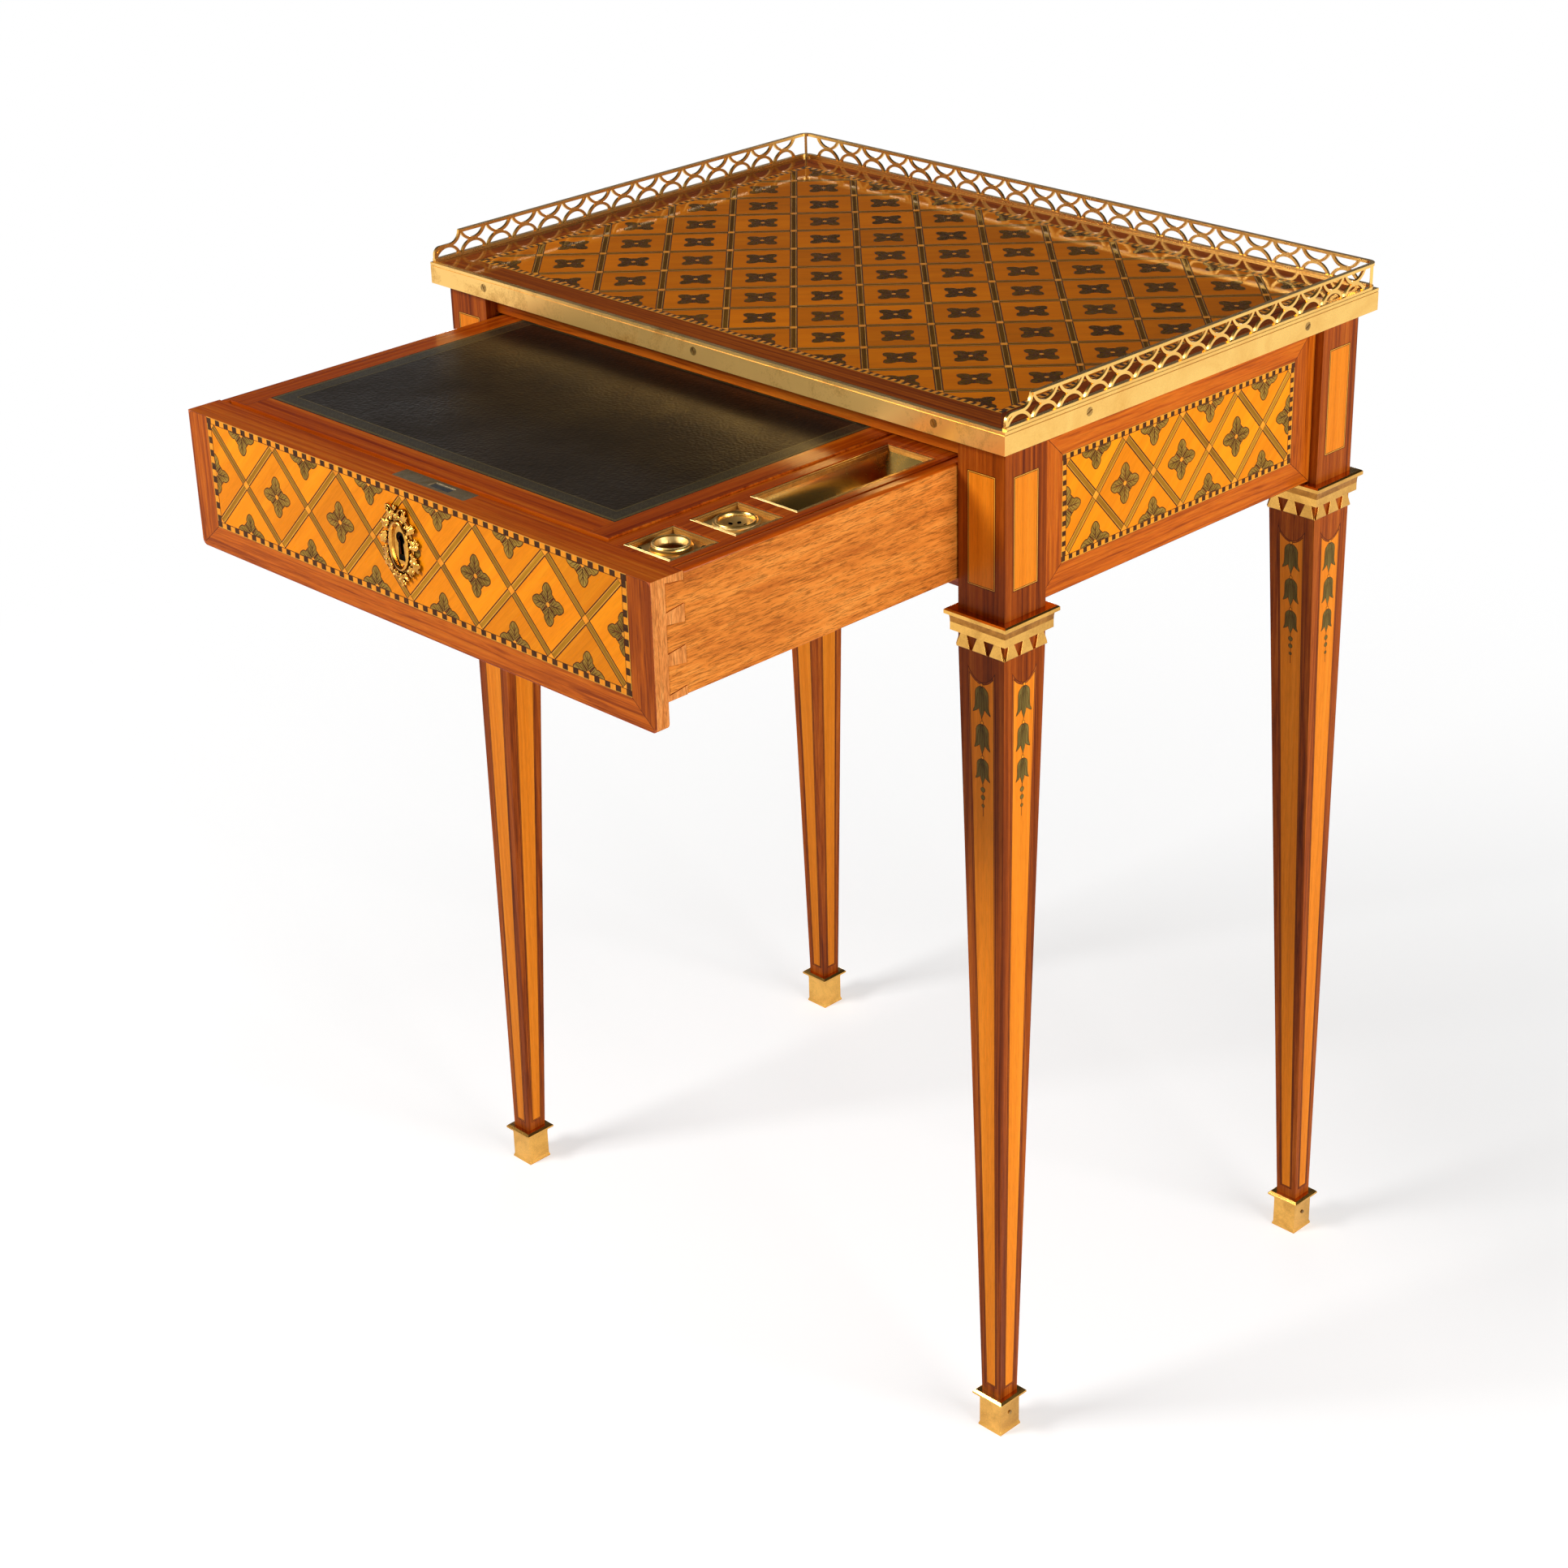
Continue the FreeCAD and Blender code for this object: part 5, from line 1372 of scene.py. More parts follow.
@dataclass(frozen=True)
class BlockInlay:
    """The upright satinwood rectangle on the square block at a leg's head, measured from the block's corner."""

    low: Point = (7.6, 18.1)
    high: Point = (30.4, 92.4)
    lines: Triple = (0.5, 0.5, 0.4)

    def draw(self) -> Piece:
        """Draws the rectangle with its three lines.

        Returns:
            The rectangle.
        """
        piece = rectangle("block_panel", self.low, self.high, Layer.GROUND)
        dressed(piece, STRING_WOOD.finish(), PALE_STRING.finish(), STRING_WOOD.finish(), LEG_SATINWOOD.finish())
        rimmed(piece, self.lines)
        set_grain(piece, 90)
        return piece


def mirrored(piece: Piece) -> Piece:
    """Turns a drawn piece over from left to right, with its faces kept outwards.

    Args:
        piece: the piece.

    Returns:
        The piece.
    """
    alone(piece)
    piece.scale.x = -1
    bpy.ops.object.transform_apply(location=True, rotation=True, scale=True)
    with opened(piece):
        bpy.ops.mesh.remove_doubles(threshold=1e-7)
        if sum(f.normal.z for f in bmesh.from_edit_mesh(piece.data).faces) < 0:
            bpy.ops.mesh.flip_normals()
    return piece


# --------------------------------------------------------------- pieces


def eased(node: str, finish: bpy.types.Material, ease: float = 0.5, segments: int = 2) -> Piece:
    """Makes a copy of a sharp-edged CAD part with its edges eased, which stands for it.

    Args:
        node: the CAD node.
        finish: its finish.
        ease: how wide the eased edge is, in mm.
        segments: how many facets it has.

    Returns:
        The copy.
    """
    source = frame["nodes"][node]
    piece = bpy.data.objects.new(f"{node}_eased", source.data.copy())
    bpy.context.scene.collection.objects.link(piece)
    piece.data.name = piece.name
    # The CAD's loose triangles are closed up, and those that lie in one plane are run together.
    with opened(piece):
        bpy.ops.mesh.remove_doubles(threshold=2e-6)
        bpy.ops.mesh.dissolve_limited(angle_limit=math.radians(0.4))
    modified(piece, "BEVEL", width=ease * MM, segments=segments, limit_method="ANGLE",
             angle_limit=math.radians(35), use_clamp_overlap=True, harden_normals=True)
    dressed(piece, finish)
    for face in piece.data.polygons:
        face.material_index = 0
    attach(piece, source["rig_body"])
    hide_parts(node)
    LOG.info("%s: %d faces", piece.name, len(piece.data.polygons))
    return piece


def wear(finish: bpy.types.Material, *nodes: str) -> None:
    """Gives CAD parts that keep their shape their finish.

    Args:
        finish: the finish.
        *nodes: the CAD nodes.
    """
    for node in nodes:
        for slot in frame["nodes"][node].material_slots:
            slot.material = finish
        LOG.info("%s: %s", node, finish.name)


@dataclass
class Legs:
    """The four legs with their collars, shoes and inlay. The plumb corners are the outer ones."""

    corner: Point = (259.0, 176.4)
    middle: float = 122.3
    shoe: float = 30.0
    block_foot: float = 613.0
    block: float = 38.0
    # The mounts' coves lie between these heights, in mm, and are darkened as painted shade, as are their undersides
    # above the height that follows.
    shaded_hollows: tuple[Point, ...] = ((604.3, 609.2), (23.5, 26.6))
    split_height: float = 28.0
    wood_edge: float = 0.6
    mount_edge: float = 0.3
    inlay: LegInlay = LegInlay()
    head: BlockInlay = BlockInlay()

    def build(self) -> None:
        """Eases the legs' edges and lays the inlay on every face that shows."""
        panel, drop = self.inlay.draw()
        head = self.head.draw()
        patterns = {1: (panel, drop), -1: (mirrored(copied(panel)), mirrored(copied(drop)))}
        brass = (MOUNT_BRASS.finish(), SHADED_BRASS.finish())
        for depth, sy in (("front", -1), ("back", 1)):
            for side, sx in (("left", -1), ("right", 1)):
                name = f"{depth}_{side}"
                wood = eased(f"leg_{name}", HEART_KINGWOOD.finish(Grain.ALONG_Z), self.wood_edge)
                for part in ("collar", "sabot"):
                    mount = eased(f"{part}_{name}", brass[0], self.mount_edge)
                    part_painted(mount, brass, self.in_painted_shade)
                self.face(name, sx, sy, patterns, head)
        for piece in (panel, drop, head, *patterns[-1]):
            dropped(piece)

    def in_painted_shade(self, spot: Vector, normal: Vector) -> int:
        """Tells the coves and undersides of the mounts, which are darkened as painted shade, from the rest."""
        hollow = any(low < spot.z < high for low, high in self.shaded_hollows)
        return 1 if hollow or (normal.z < -0.6 and spot.z > self.split_height) else 0

    def face(self, name: str, sx: int, sy: int, patterns: dict, head: Piece) -> None:
        """Lays the inlay on the four faces of one leg.

        Args:
            name: the leg's name.
            sx: which side of the table it is on, -1 for the left.
            sy: -1 at the front, 1 at the back.
            patterns: the panel and the drop for a plumb edge on the left, 1, or on the right, -1.
            head: the block's rectangle.
        """
        x, y = sx * self.corner[0], self.middle + sy * self.corner[1]
        panels, drops, heads = [], [], []
        for out, outer in (((0, sy, 0), True), ((sx, 0, 0), True), ((0, -sy, 0), False), ((-sx, 0, 0), False)):
            way = Vector(out)
            across = Vector((0, 0, 1)).cross(way)
            inward = Vector((-sx, -sy, 0))
            hand = 1 if across.dot(inward) > 0 else -1
            rise = Vector((0, 0, self.inlay.tall))
            start = Vector((x, y, self.shoe))
            if not outer:
                rise += way * (self.inlay.high - self.inlay.low)
                start += way * self.inlay.low
            bed = Bed(start, across, rise.normalized())
            # The left and back legs' inlay is made a little darker, as painted shade.
            for pattern, made in zip(patterns[hand], (panels, drops)):
                made.append(bed.lay(copied(pattern, tone=0.04 * sx - 0.03 * sy)))
            if outer:
                corner = Vector((x, y, self.block_foot))
                if hand < 0:
                    corner -= across * self.block
                heads.append(Bed(corner, across, Vector((0, 0, 1))).lay(copied(head)))
        placed(joined(f"leg_panels_{name}", panels), "table", thick=THIN_VENEER)
        placed(joined(f"leg_husks_{name}", drops), "table", thick=THIN_VENEER)
        placed(joined(f"leg_heads_{name}", heads), "table", thick=THIN_VENEER)


@dataclass
class Top:
    """The table's top, its brass bands and gallery."""

    middle: float = 122.3
    level: float = 740.0
    field: Point = (238.4, 157.35)
    pitch: Point = (62.9, 62.9)
    chequer: Chequer = Chequer(width=4.6, line=0.45, square=2.9)
    edge: tuple[Point, Point] = ((-261.6, -182.2), (261.6, 180.7))
    rounded: float = 4.9

    def build(self) -> None:
        """Lays the trellis and banding on the top and dresses the brass round it."""
        bed = Bed.facing((0, 0, 1), (0, self.middle, self.level))
        Trellis("top", self.field, self.pitch, "table", flower=Flower(wood=TOP_OLIVE), chequer=self.chequer,
                wood=TOP_SATINWOOD, strip_wood=TOP_STRIP).build(bed)
        CrossBanding("top_banding", "table", self.edge, self.chequer.corners(self.field), TOP_KINGWOOD,
                     rounded=self.rounded).build(bed)
        wear(TOP_KINGWOOD.finish(Grain.ALONG_X), "top_panel")
        eased("edge_band_front", DULL_BRASS.finish(), 0.5)
        for side in ("back", "left", "right"):
            eased(f"edge_band_{side}", BRIGHT_BRASS.finish(), 0.5)
        wear(BRIGHT_BRASS.finish(), "gallery_left", "gallery_right", "gallery_back")
        wear(SCREW_METAL.finish(), "band_screws", "sabot_pins")


@dataclass
class Carcase:
    """The frieze of the table and what carries the drawer inside it."""

    middle: float = 122.3
    level: float = 668.1
    side: float = 252.5
    back: float = 292.2
    side_field: Point = (112.6, 31.55)
    side_pitch: Point = (56.3, 62.0)
    side_edge: tuple[Point, Point] = ((-138.3, -54.0), (138.3, 56.8))
    back_field: Point = (195.6, 31.55)
    back_pitch: Point = (65.2, 62.0)
    back_edge: tuple[Point, Point] = ((-220.9, -54.0), (220.9, 56.8))
    chequer: Chequer = Chequer()

    def build(self) -> None:
        """Lays marquetry on the aprons and dresses the rails and runners."""
        for side, sx in (("right", 1), ("left", -1)):
            bed = Bed.facing((sx, 0, 0), (sx * self.side, self.middle, self.level))
            Trellis(f"apron_{side}", self.side_field, self.side_pitch, "table", chequer=self.chequer).build(bed)
            CrossBanding(f"apron_{side}_banding", "table", self.side_edge,
                         self.chequer.corners(self.side_field)).build(bed)
        bed = Bed.facing((0, 1, 0), (0, self.back, self.level))
        Trellis("apron_back", self.back_field, self.back_pitch, "table", chequer=self.chequer).build(bed)
        CrossBanding("apron_back_banding", "table", self.back_edge, self.chequer.corners(self.back_field)).build(bed)
        wear(KINGWOOD.finish(Grain.ALONG_Y), "side_apron_left", "side_apron_right")
        wear(KINGWOOD.finish(Grain.ALONG_X), "back_apron", "upper_front_rail")
        wear(RED_MAHOGANY.finish(Grain.ALONG_X), "lower_front_rail")
        wear(OAK.finish(Grain.ALONG_Y), "drawer_runner_left", "drawer_runner_right", "drawer_guide_left",
             "drawer_guide_right", "drawer_kicker_left", "drawer_kicker_right", "glue_blocks")


@dataclass
class Drawer:
    """The frieze drawer: its marquetry front, its boards and its lock.

    The sawn ends reach in from the front board's ends, the polish runs down from the sides' rims, and the
    window in the veneer and the keyhole's walls, painted black as shade, lie round the keyhole, all in mm.
    """

    front: float = -304.7
    rim: float = 706.8
    half: float = 219.9
    low: float = 614.0
    tall: float = 75.5
    field: float = 195.6
    pitch: Point = (65.2, 67.0)
    chequer: Chequer = Chequer(width=4.2, square=4.7)
    edge: float = 0.6
    top_edge: float = 0.2
    rounded: float = 4.0
    sawn: float = 6.0
    polished: float = 1.4
    keyhole: Point = (-4.5, 669.8)
    window: tuple[Point, Point] = ((-2.9, -6.4), (2.9, 7.6))
    shaded_keyhole: Point = (4.0, 9.0)

    def cut(self, spot: Vector, normal: Vector) -> int:
        """Tells the sawn ends of the front board and the keyhole's walls, painted black as shade, from its polished
        faces.

        Args:
            spot: a face's middle in mm.
            normal: its normal.

        Returns:
            1 for a sawn end, 2 for the keyhole's painted shade, and 0 for the rest.
        """
        if abs(spot.x) > self.half - self.sawn and abs(normal.x) > 0.6:
            return 1
        # The keyhole's walls are painted black, as shade.
        near = abs(spot.x - self.keyhole[0]) < self.shaded_keyhole[0] and abs(spot.z - self.keyhole[1]) < self.shaded_keyhole[1]
        return 2 if near and abs(normal.y) < 0.5 else 0

    def build(self) -> None:
        """Lays marquetry on the drawer's front and dresses its boards, its lock and the bodies of its fittings."""
        middle = self.rim - self.tall / 2 - self.top_edge
        bed = Bed.facing((0, -1, 0), (0, self.front, middle))
        field = (self.field, self.tall / 2 - self.chequer.width)
        low, high = ((self.keyhole[0] + x, self.keyhole[1] - middle + y) for x, y in self.window)
        Trellis("drawer_front", field, self.pitch, "drawer", chequer=self.chequer, window=(low, high)).build(bed)
        edge = ((-self.half + self.edge, self.low - middle + self.edge),
                (self.half - self.edge, self.rim - middle - self.top_edge))
        CrossBanding("drawer_front_banding", "drawer", edge, self.chequer.corners(field),
                     sides=(Side.BOTTOM, Side.RIGHT, Side.LEFT), rounded=self.rounded).build(bed)
        red = {grain: RED_MAHOGANY.finish(grain) for grain in (Grain.ALONG_X, Grain.ALONG_Y)}
        board = eased("drawer_front", red[Grain.ALONG_X], 0.9, 3)
        # The third finish paints the keyhole's walls black, as shade.
        ends = (red[Grain.ALONG_X], END_MAHOGANY.finish(Grain.ALONG_Z), IRON_AND_KEYHOLE_SHADE.finish())
        part_painted(board, ends, self.cut)
        split_height = self.rim - self.polished
        for side in ("left", "right"):
            board = eased(f"drawer_side_{side}", SIDE_MAHOGANY.finish(Grain.ALONG_Y), 1.1, 3)
            part_painted(board, (SIDE_MAHOGANY.finish(Grain.ALONG_Y), red[Grain.ALONG_Y]),
                                 lambda m, n: 1 if m.z > split_height and n.z > 0.1 else 0)
        wear(SIDE_MAHOGANY.finish(Grain.ALONG_X), "drawer_back", "drawer_bottom")
        for node in ("well_divider", "compartment_deck"):
            eased(node, red[Grain.ALONG_Y], 0.9, 3)
        wear(red[Grain.ALONG_Y], "slide_bearer", "deck_bearer")
        wear(IRON_AND_KEYHOLE_SHADE.finish(), "lock_case")
        wear(BOLT_STEEL.finish(), "lock_bolt")
        wear(WORN_PLATE.finish(), "lock_plate")
        wear(GILT_BRONZE.finish(), "escutcheon_pins")
        # The tray's darker brass is painted shade for its deep inside.
        wear(SHADED_TRAY_BRASS.finish(), "pen_tray")
        wear(DULL_BRASS.finish(), "inkwell_cup", "pounce_cup")


Lump = tuple[float, float, float, Triple, float]
Key = tuple[float, float, float, float]


@dataclass
class Escutcheon:
    """The cast and chased shield round the keyhole: a ribbon bow over sprays of leaves, berries and flowers.

    Places are in mm from the shield's middle: across, up, and out from the drawer's front. A lump is given by
    its place, its half sizes and its turn, and a keyhole by its eye's radius and height, half the slot's width,
    and the slot's foot.
    """

    middle: Point = (-4.5, 669.8)
    face: float = -304.7
    dish: tuple[Point, ...] = ((9.3, 0), (9.6, 1.6), (9.3, 2.6), (8.8, 3.2), (8.1, 3.25), (7.6, 2.7), (7.3, 1.2),
                               (6.9, 0.5), (6.3, 0.7), (5.6, 0.75), (4.9, 0.5))
    tall: float = 1.72
    ground: tuple[Point, ...] = ((9.4, 0.1), (12.6, 0.1), (12.9, 0.8), (9.4, 1.0), (9.4, 0.1))
    ground_tall: float = 1.52
    key: Key = (4.2, 4.6, 2.6, -9.8)
    shade_bush: Key = (2.5, 4.0, 1.5, -6.2)
    loops: tuple[Triple, ...] = ((-6.4, 22.4, 148), (4.6, 22.0, 35))
    bow: tuple[Lump, ...] = (
        (-0.9, 19.4, 2.0, (2.0, 1.8, 1.5), 0), (-1.6, 24.6, 1.8, (1.6, 2.0, 1.3), 20),
        (-9.0, 17.2, 1.5, (3.4, 1.0, 1.2), -130), (8.2, 17.4, 1.5, (3.4, 1.0, 1.2), -45))
    blossoms: tuple[Triple, ...] = ((-12.6, -12.0, 4.4), (14.2, -9.6, 4.9), (-15.6, 1.6, 3.8), (15.8, 5.0, 3.6),
                                    (-12.8, 11.6, 3.4), (13.2, 14.0, 3.2))
    foot: tuple[Lump, ...] = ((0, -19.2, 2.0, (2.1, 2.1, 1.5), 0), (0, -22.6, 1.7, (1.6, 1.6, 1.4), 0),
                              (0, -25.2, 1.4, (1.2, 1.4, 1.2), 0))
    reach: Point = (20.0, 27.0)
    thick: float = 3.58
    grain: float = 0.32
    kept: float = 0.45

    def lump(self, x: float, y: float, z: float, size: Triple, turn: float = 0) -> Piece:
        """Adds one lump of the casting, a ball that is drawn out and turned.

        Args:
            x: its place across.
            y: its place up.
            z: its place out.
            size: its half sizes.
            turn: its turn in degrees.

        Returns:
            The lump.
        """
        bpy.ops.mesh.primitive_ico_sphere_add(subdivisions=2, radius=MM, calc_uvs=False, location=(0, 0, 0))
        piece = bpy.context.active_object
        with opened(piece):
            stretch(*size)
        return settled("lump", piece, x, y, z, turn)

    def leaf(self, x: float, y: float, turn: float, long: float = 3.4) -> list[Piece]:
        """Adds a pointed leaf with a raised rib.

        Args:
            x: the place it springs from, across.
            y: the same, up.
            turn: which way it points, in degrees.
            long: its length.

        Returns:
            Its two halves and its rib.
        """
        c, s = math.cos(math.radians(turn)), math.sin(math.radians(turn))
        parts = []
        for side in (1, -1):
            away = math.radians(turn + side * 26)
            parts.append(self.lump(x + math.cos(away) * long * 0.45, y + math.sin(away) * long * 0.45, 1.5,
                                   (long * 0.52, long * 0.17, 1.2), turn + side * 20))
        parts.append(self.lump(x + c * long * 0.62, y + s * long * 0.62, 1.9, (long * 0.58, long * 0.14, 1.3), turn))
        return parts

    def flower(self, x: float, y: float, size: float) -> list[Piece]:
        """Adds five petals round a button.

        Args:
            x: the button's place across.
            y: its place up.
            size: how far the petals' tips reach.

        Returns:
            The button and the petals.
        """
        parts = [self.lump(x, y, 2.5, (size * 0.3, size * 0.3, 0.9))]
        for n in range(5):
            turn = 72 * n + 18
            c, s = math.cos(math.radians(turn)), math.sin(math.radians(turn))
            parts.append(self.lump(x + c * size * 0.62, y + s * size * 0.62, 1.7, (size * 0.4, size * 0.36, 0.8), turn))
        return parts

    def loop(self, x: float, y: float, turn: float) -> Piece:
        """Adds one loop of the ribbon, standing on edge.

        Args:
            x: its place across.
            y: its place up.
            turn: its turn in degrees.

        Returns:
            The loop.
        """
        bpy.ops.mesh.primitive_torus_add(major_radius=2.7 * MM, minor_radius=0.75 * MM, major_segments=24,
                                         minor_segments=8, generate_uvs=False)
        piece = bpy.context.active_object
        with opened(piece):
            stretch(1.35, 0.85, 2.0)
        return settled("loop", piece, x, y, 1.6, turn)

    def sprays(self) -> list[Piece]:
        """Adds the leaves and berries that hang from the bow down both sides.

        Returns:
            The leaves and berries.
        """
        parts = []
        for side in (1, -1):
            for n in range(10):
                angle = math.radians(62 - 14 * n)
                x, y = side * 12.6 * math.cos(angle), 19.8 * math.sin(angle)
                out = 90 - side * 90 + side * math.degrees(angle)
                parts += self.leaf(x * 0.94, y * 0.94, out - side * (64 if n % 2 else -10), 6.4 - 0.2 * n)
                parts.append(self.lump(x * 0.96, y * 0.96, 2.5, (1.3, 1.1, 1.0), 37 * n))
                if n % 2:
                    parts.append(self.lump(x * 1.22, y * 1.04 - 1.5, 2.1, (1.1, 1.1, 1.2)))
        return parts

    def casting(self) -> Piece:
        """Gathers the ornament, runs it together as cast metal, and thins its mesh.

        Returns:
            The casting, before it is filed flat.
        """
        parts = [lathed("ground", self.ground, ratio=self.ground_tall, hollow=True)]
        parts += [self.loop(*spot) for spot in self.loops] + [self.lump(*spot) for spot in self.bow]
        parts += self.sprays()
        for spot in self.blossoms:
            parts += self.flower(*spot)
        for side in (1, -1):
            parts += self.leaf(side * 3.0, -18.4, -90 + side * 62, 4.2)
            parts += self.leaf(side * 1.4, -21.6, -90 + side * 45, 3.0)
        parts += [self.lump(*spot) for spot in self.foot]
        piece = joined("casting", parts)
        modified(piece, "REMESH", mode="VOXEL", voxel_size=self.grain * MM)
        modified(piece, "DECIMATE", ratio=self.kept)
        return piece

    def cutter(self, shape: Key) -> Piece:
        """Makes a keyhole's shape as a block to cut with: a round eye over a slot.

        Args:
            shape: the keyhole.

        Returns:
            The block.
        """
        radius, eye, half, foot = shape
        hole = lathed("key", ((radius, -1.0), (radius, 5.0)), (0, eye, 0), sides=24)
        slot = four_sided("slot", [(-half * 1.2, foot), (half * 1.2, foot), (half * 0.85, eye),
                                   (-half * 0.85, eye)], -1)
        with opened(slot):
            bpy.ops.mesh.extrude_region_move(TRANSFORM_OT_translate={"value": (0, 0, 6 * MM)})
            bpy.ops.mesh.select_all(action="SELECT")
            bpy.ops.mesh.normals_make_consistent(inside=False)
        cut_with(hole, slot, "UNION")
        return hole

    def build(self) -> None:
        """Casts the shield, cuts its keyhole and sets it on the drawer's front."""
        dish = lathed("dish", self.dish, ratio=self.tall, sides=56)
        # A thin near-black plate lies under the dish so that the keyhole reads black: painted shade for the inside of
        # the lock.
        shade_bush = lathed("keyhole_bush", ((5.2, 0.02), (5.2, 0.25)), (0, -0.6, 0), ratio=2.0)
        for piece, shape in ((dish, self.key), (shade_bush, self.shade_bush)):
            cut_with(piece, self.cutter(shape))
        place = Bed.facing((0, -1, 0), (self.middle[0], self.face, self.middle[1]))
        placed(dressed(shade_bush, IRON_AND_KEYHOLE_SHADE.finish()), "drawer", place)
        casting = self.casting()
        trimmed(casting, (-self.reach[0], -self.reach[1]), self.reach)
        with opened(casting):
            saw((0, 0, self.thick), (0, 0, 1), clear_outer=True, use_fill=True)
            saw((0, 0, 0), (0, 0, -1), clear_outer=True, use_fill=True)
        piece = joined("escutcheon_casting", [casting, dish])
        dressed(smoothed(piece, 50), GILT_BRONZE.finish())
        placed(piece, "drawer", place)
        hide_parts("escutcheon")


def around(far: float, count: int) -> tuple[Point, ...]:
    """Spaces places evenly round a circle of a radius in mm."""
    turns = [2 * math.pi * k / count for k in range(count)]
    return tuple((far * math.cos(turn), far * math.sin(turn)) for turn in turns)


@dataclass(frozen=True)
class Pot:
    """A pot that hangs by its square plate, with the turned ring round its mouth and the holes in the plate."""

    name: str
    body: str
    y: float
    ring: tuple[Point, ...]
    holes: tuple[Point, ...]
    hole: float
    half: float = 19.45


@dataclass
class Fittings:
    """The brass inkwell, pounce pot and pen tray: their moulded borders, rings and holes."""

    across: float = 184.7
    plate: float = 703.8
    bedded: float = 0.05
    pots: tuple[Pot, ...] = (
        Pot("inkwell", "inkwell", -256.1,
            ((12.5, 0), (12.7, 1.2), (12.0, 1.7), (11.9, 2.6), (11.2, 3.5), (10.4, 3.78), (9.7, 3.4), (10.9, 1.6),
             (12.5, 0)),
            tuple((sx * 13.6, sy * 13.6) for sx in (-1, 1) for sy in (-1, 1)), 2.35),
        Pot("pounce", "pounce_pot", -204.5,
            ((12.9, 0), (13.1, 1.0), (12.6, 2.0), (11.8, 2.5), (11.0, 2.3), (10.4, 1.4), (10.3, 0.1), (12.9, 0)),
            ((0.0, 0.0), *around(5.2, 6)), 1.35))
    tray: Triple = (-115.2, 19.95, 59.45)
    steps: tuple[Point, ...] = ((0.02, 2.2), (0.35, 0.5), (0.5, 0.15), (0.5, -0.2), (0.3, -0.9), (0.45, 0.0),
                                (0.4, 0.5), (0.35, 0.0), (0.7, -2.0))
    ease: float = 0.1
    drill: Point = (-8.0, 3.0)

    def drilled(self, pot: Pot) -> None:
        """Opens the holes of a pot's plate to their worn size, with their walls painted near black as shade.

        Args:
            pot: the pot.
        """
        finishes = (SATIN_BRASS.finish(), HOLE_SHADE_BRASS.finish())
        piece = eased(f"{pot.name}_plate", finishes[0], self.ease, 1)
        middles = [(self.across + x, pot.y + y) for x, y in pot.holes]
        for x, y in middles:
            cut_with(piece, lathed("drill", [(pot.hole, level) for level in self.drill], (x, y, self.plate), sides=16))
        # The holes' walls are painted near black, as shade.
        part_painted(piece, finishes, lambda m, n: int(
            abs(n.z) < 0.3 and any(math.hypot(m.x - x, m.y - y) < pot.hole * 1.1 for x, y in middles)))

    def border(self, name: str, body: str, half: Point, y: float) -> None:
        """Lays a moulded border round a plate, with the steep faces of its steps darkened as painted shade.

        Args:
            name: the fitting's name.
            body: the moving body that it rides on.
            half: half the plate's width and depth, in mm.
            y: where its middle is along the drawer.
        """
        piece = smoothed(moulded(f"{name}_border", half, self.steps, (self.across, y, self.plate - self.bedded)), 30)
        # The steps' steep faces take the darker brass, as painted shade.
        finishes = (SATIN_BRASS.finish(), SHADED_BRASS.finish())
        placed(part_painted(piece, finishes, lambda m, n: 1 if abs(n.z) < 0.55 else 0), body)

    def build(self) -> None:
        """Lays the borders and rings on their plates and drills the plates."""
        for pot in self.pots:
            self.border(pot.name, pot.body, (pot.half, pot.half), pot.y)
        y, *half = self.tray
        self.border("pen_tray", "pen_tray", half, y)
        for pot in self.pots:
            ring = lathed(f"{pot.name}_ring", pot.ring, (self.across, pot.y, self.plate), hollow=True)
            placed(dressed(smoothed(ring), BRIGHT_BRASS.finish()), pot.body)
        for pot in self.pots:
            self.drilled(pot)


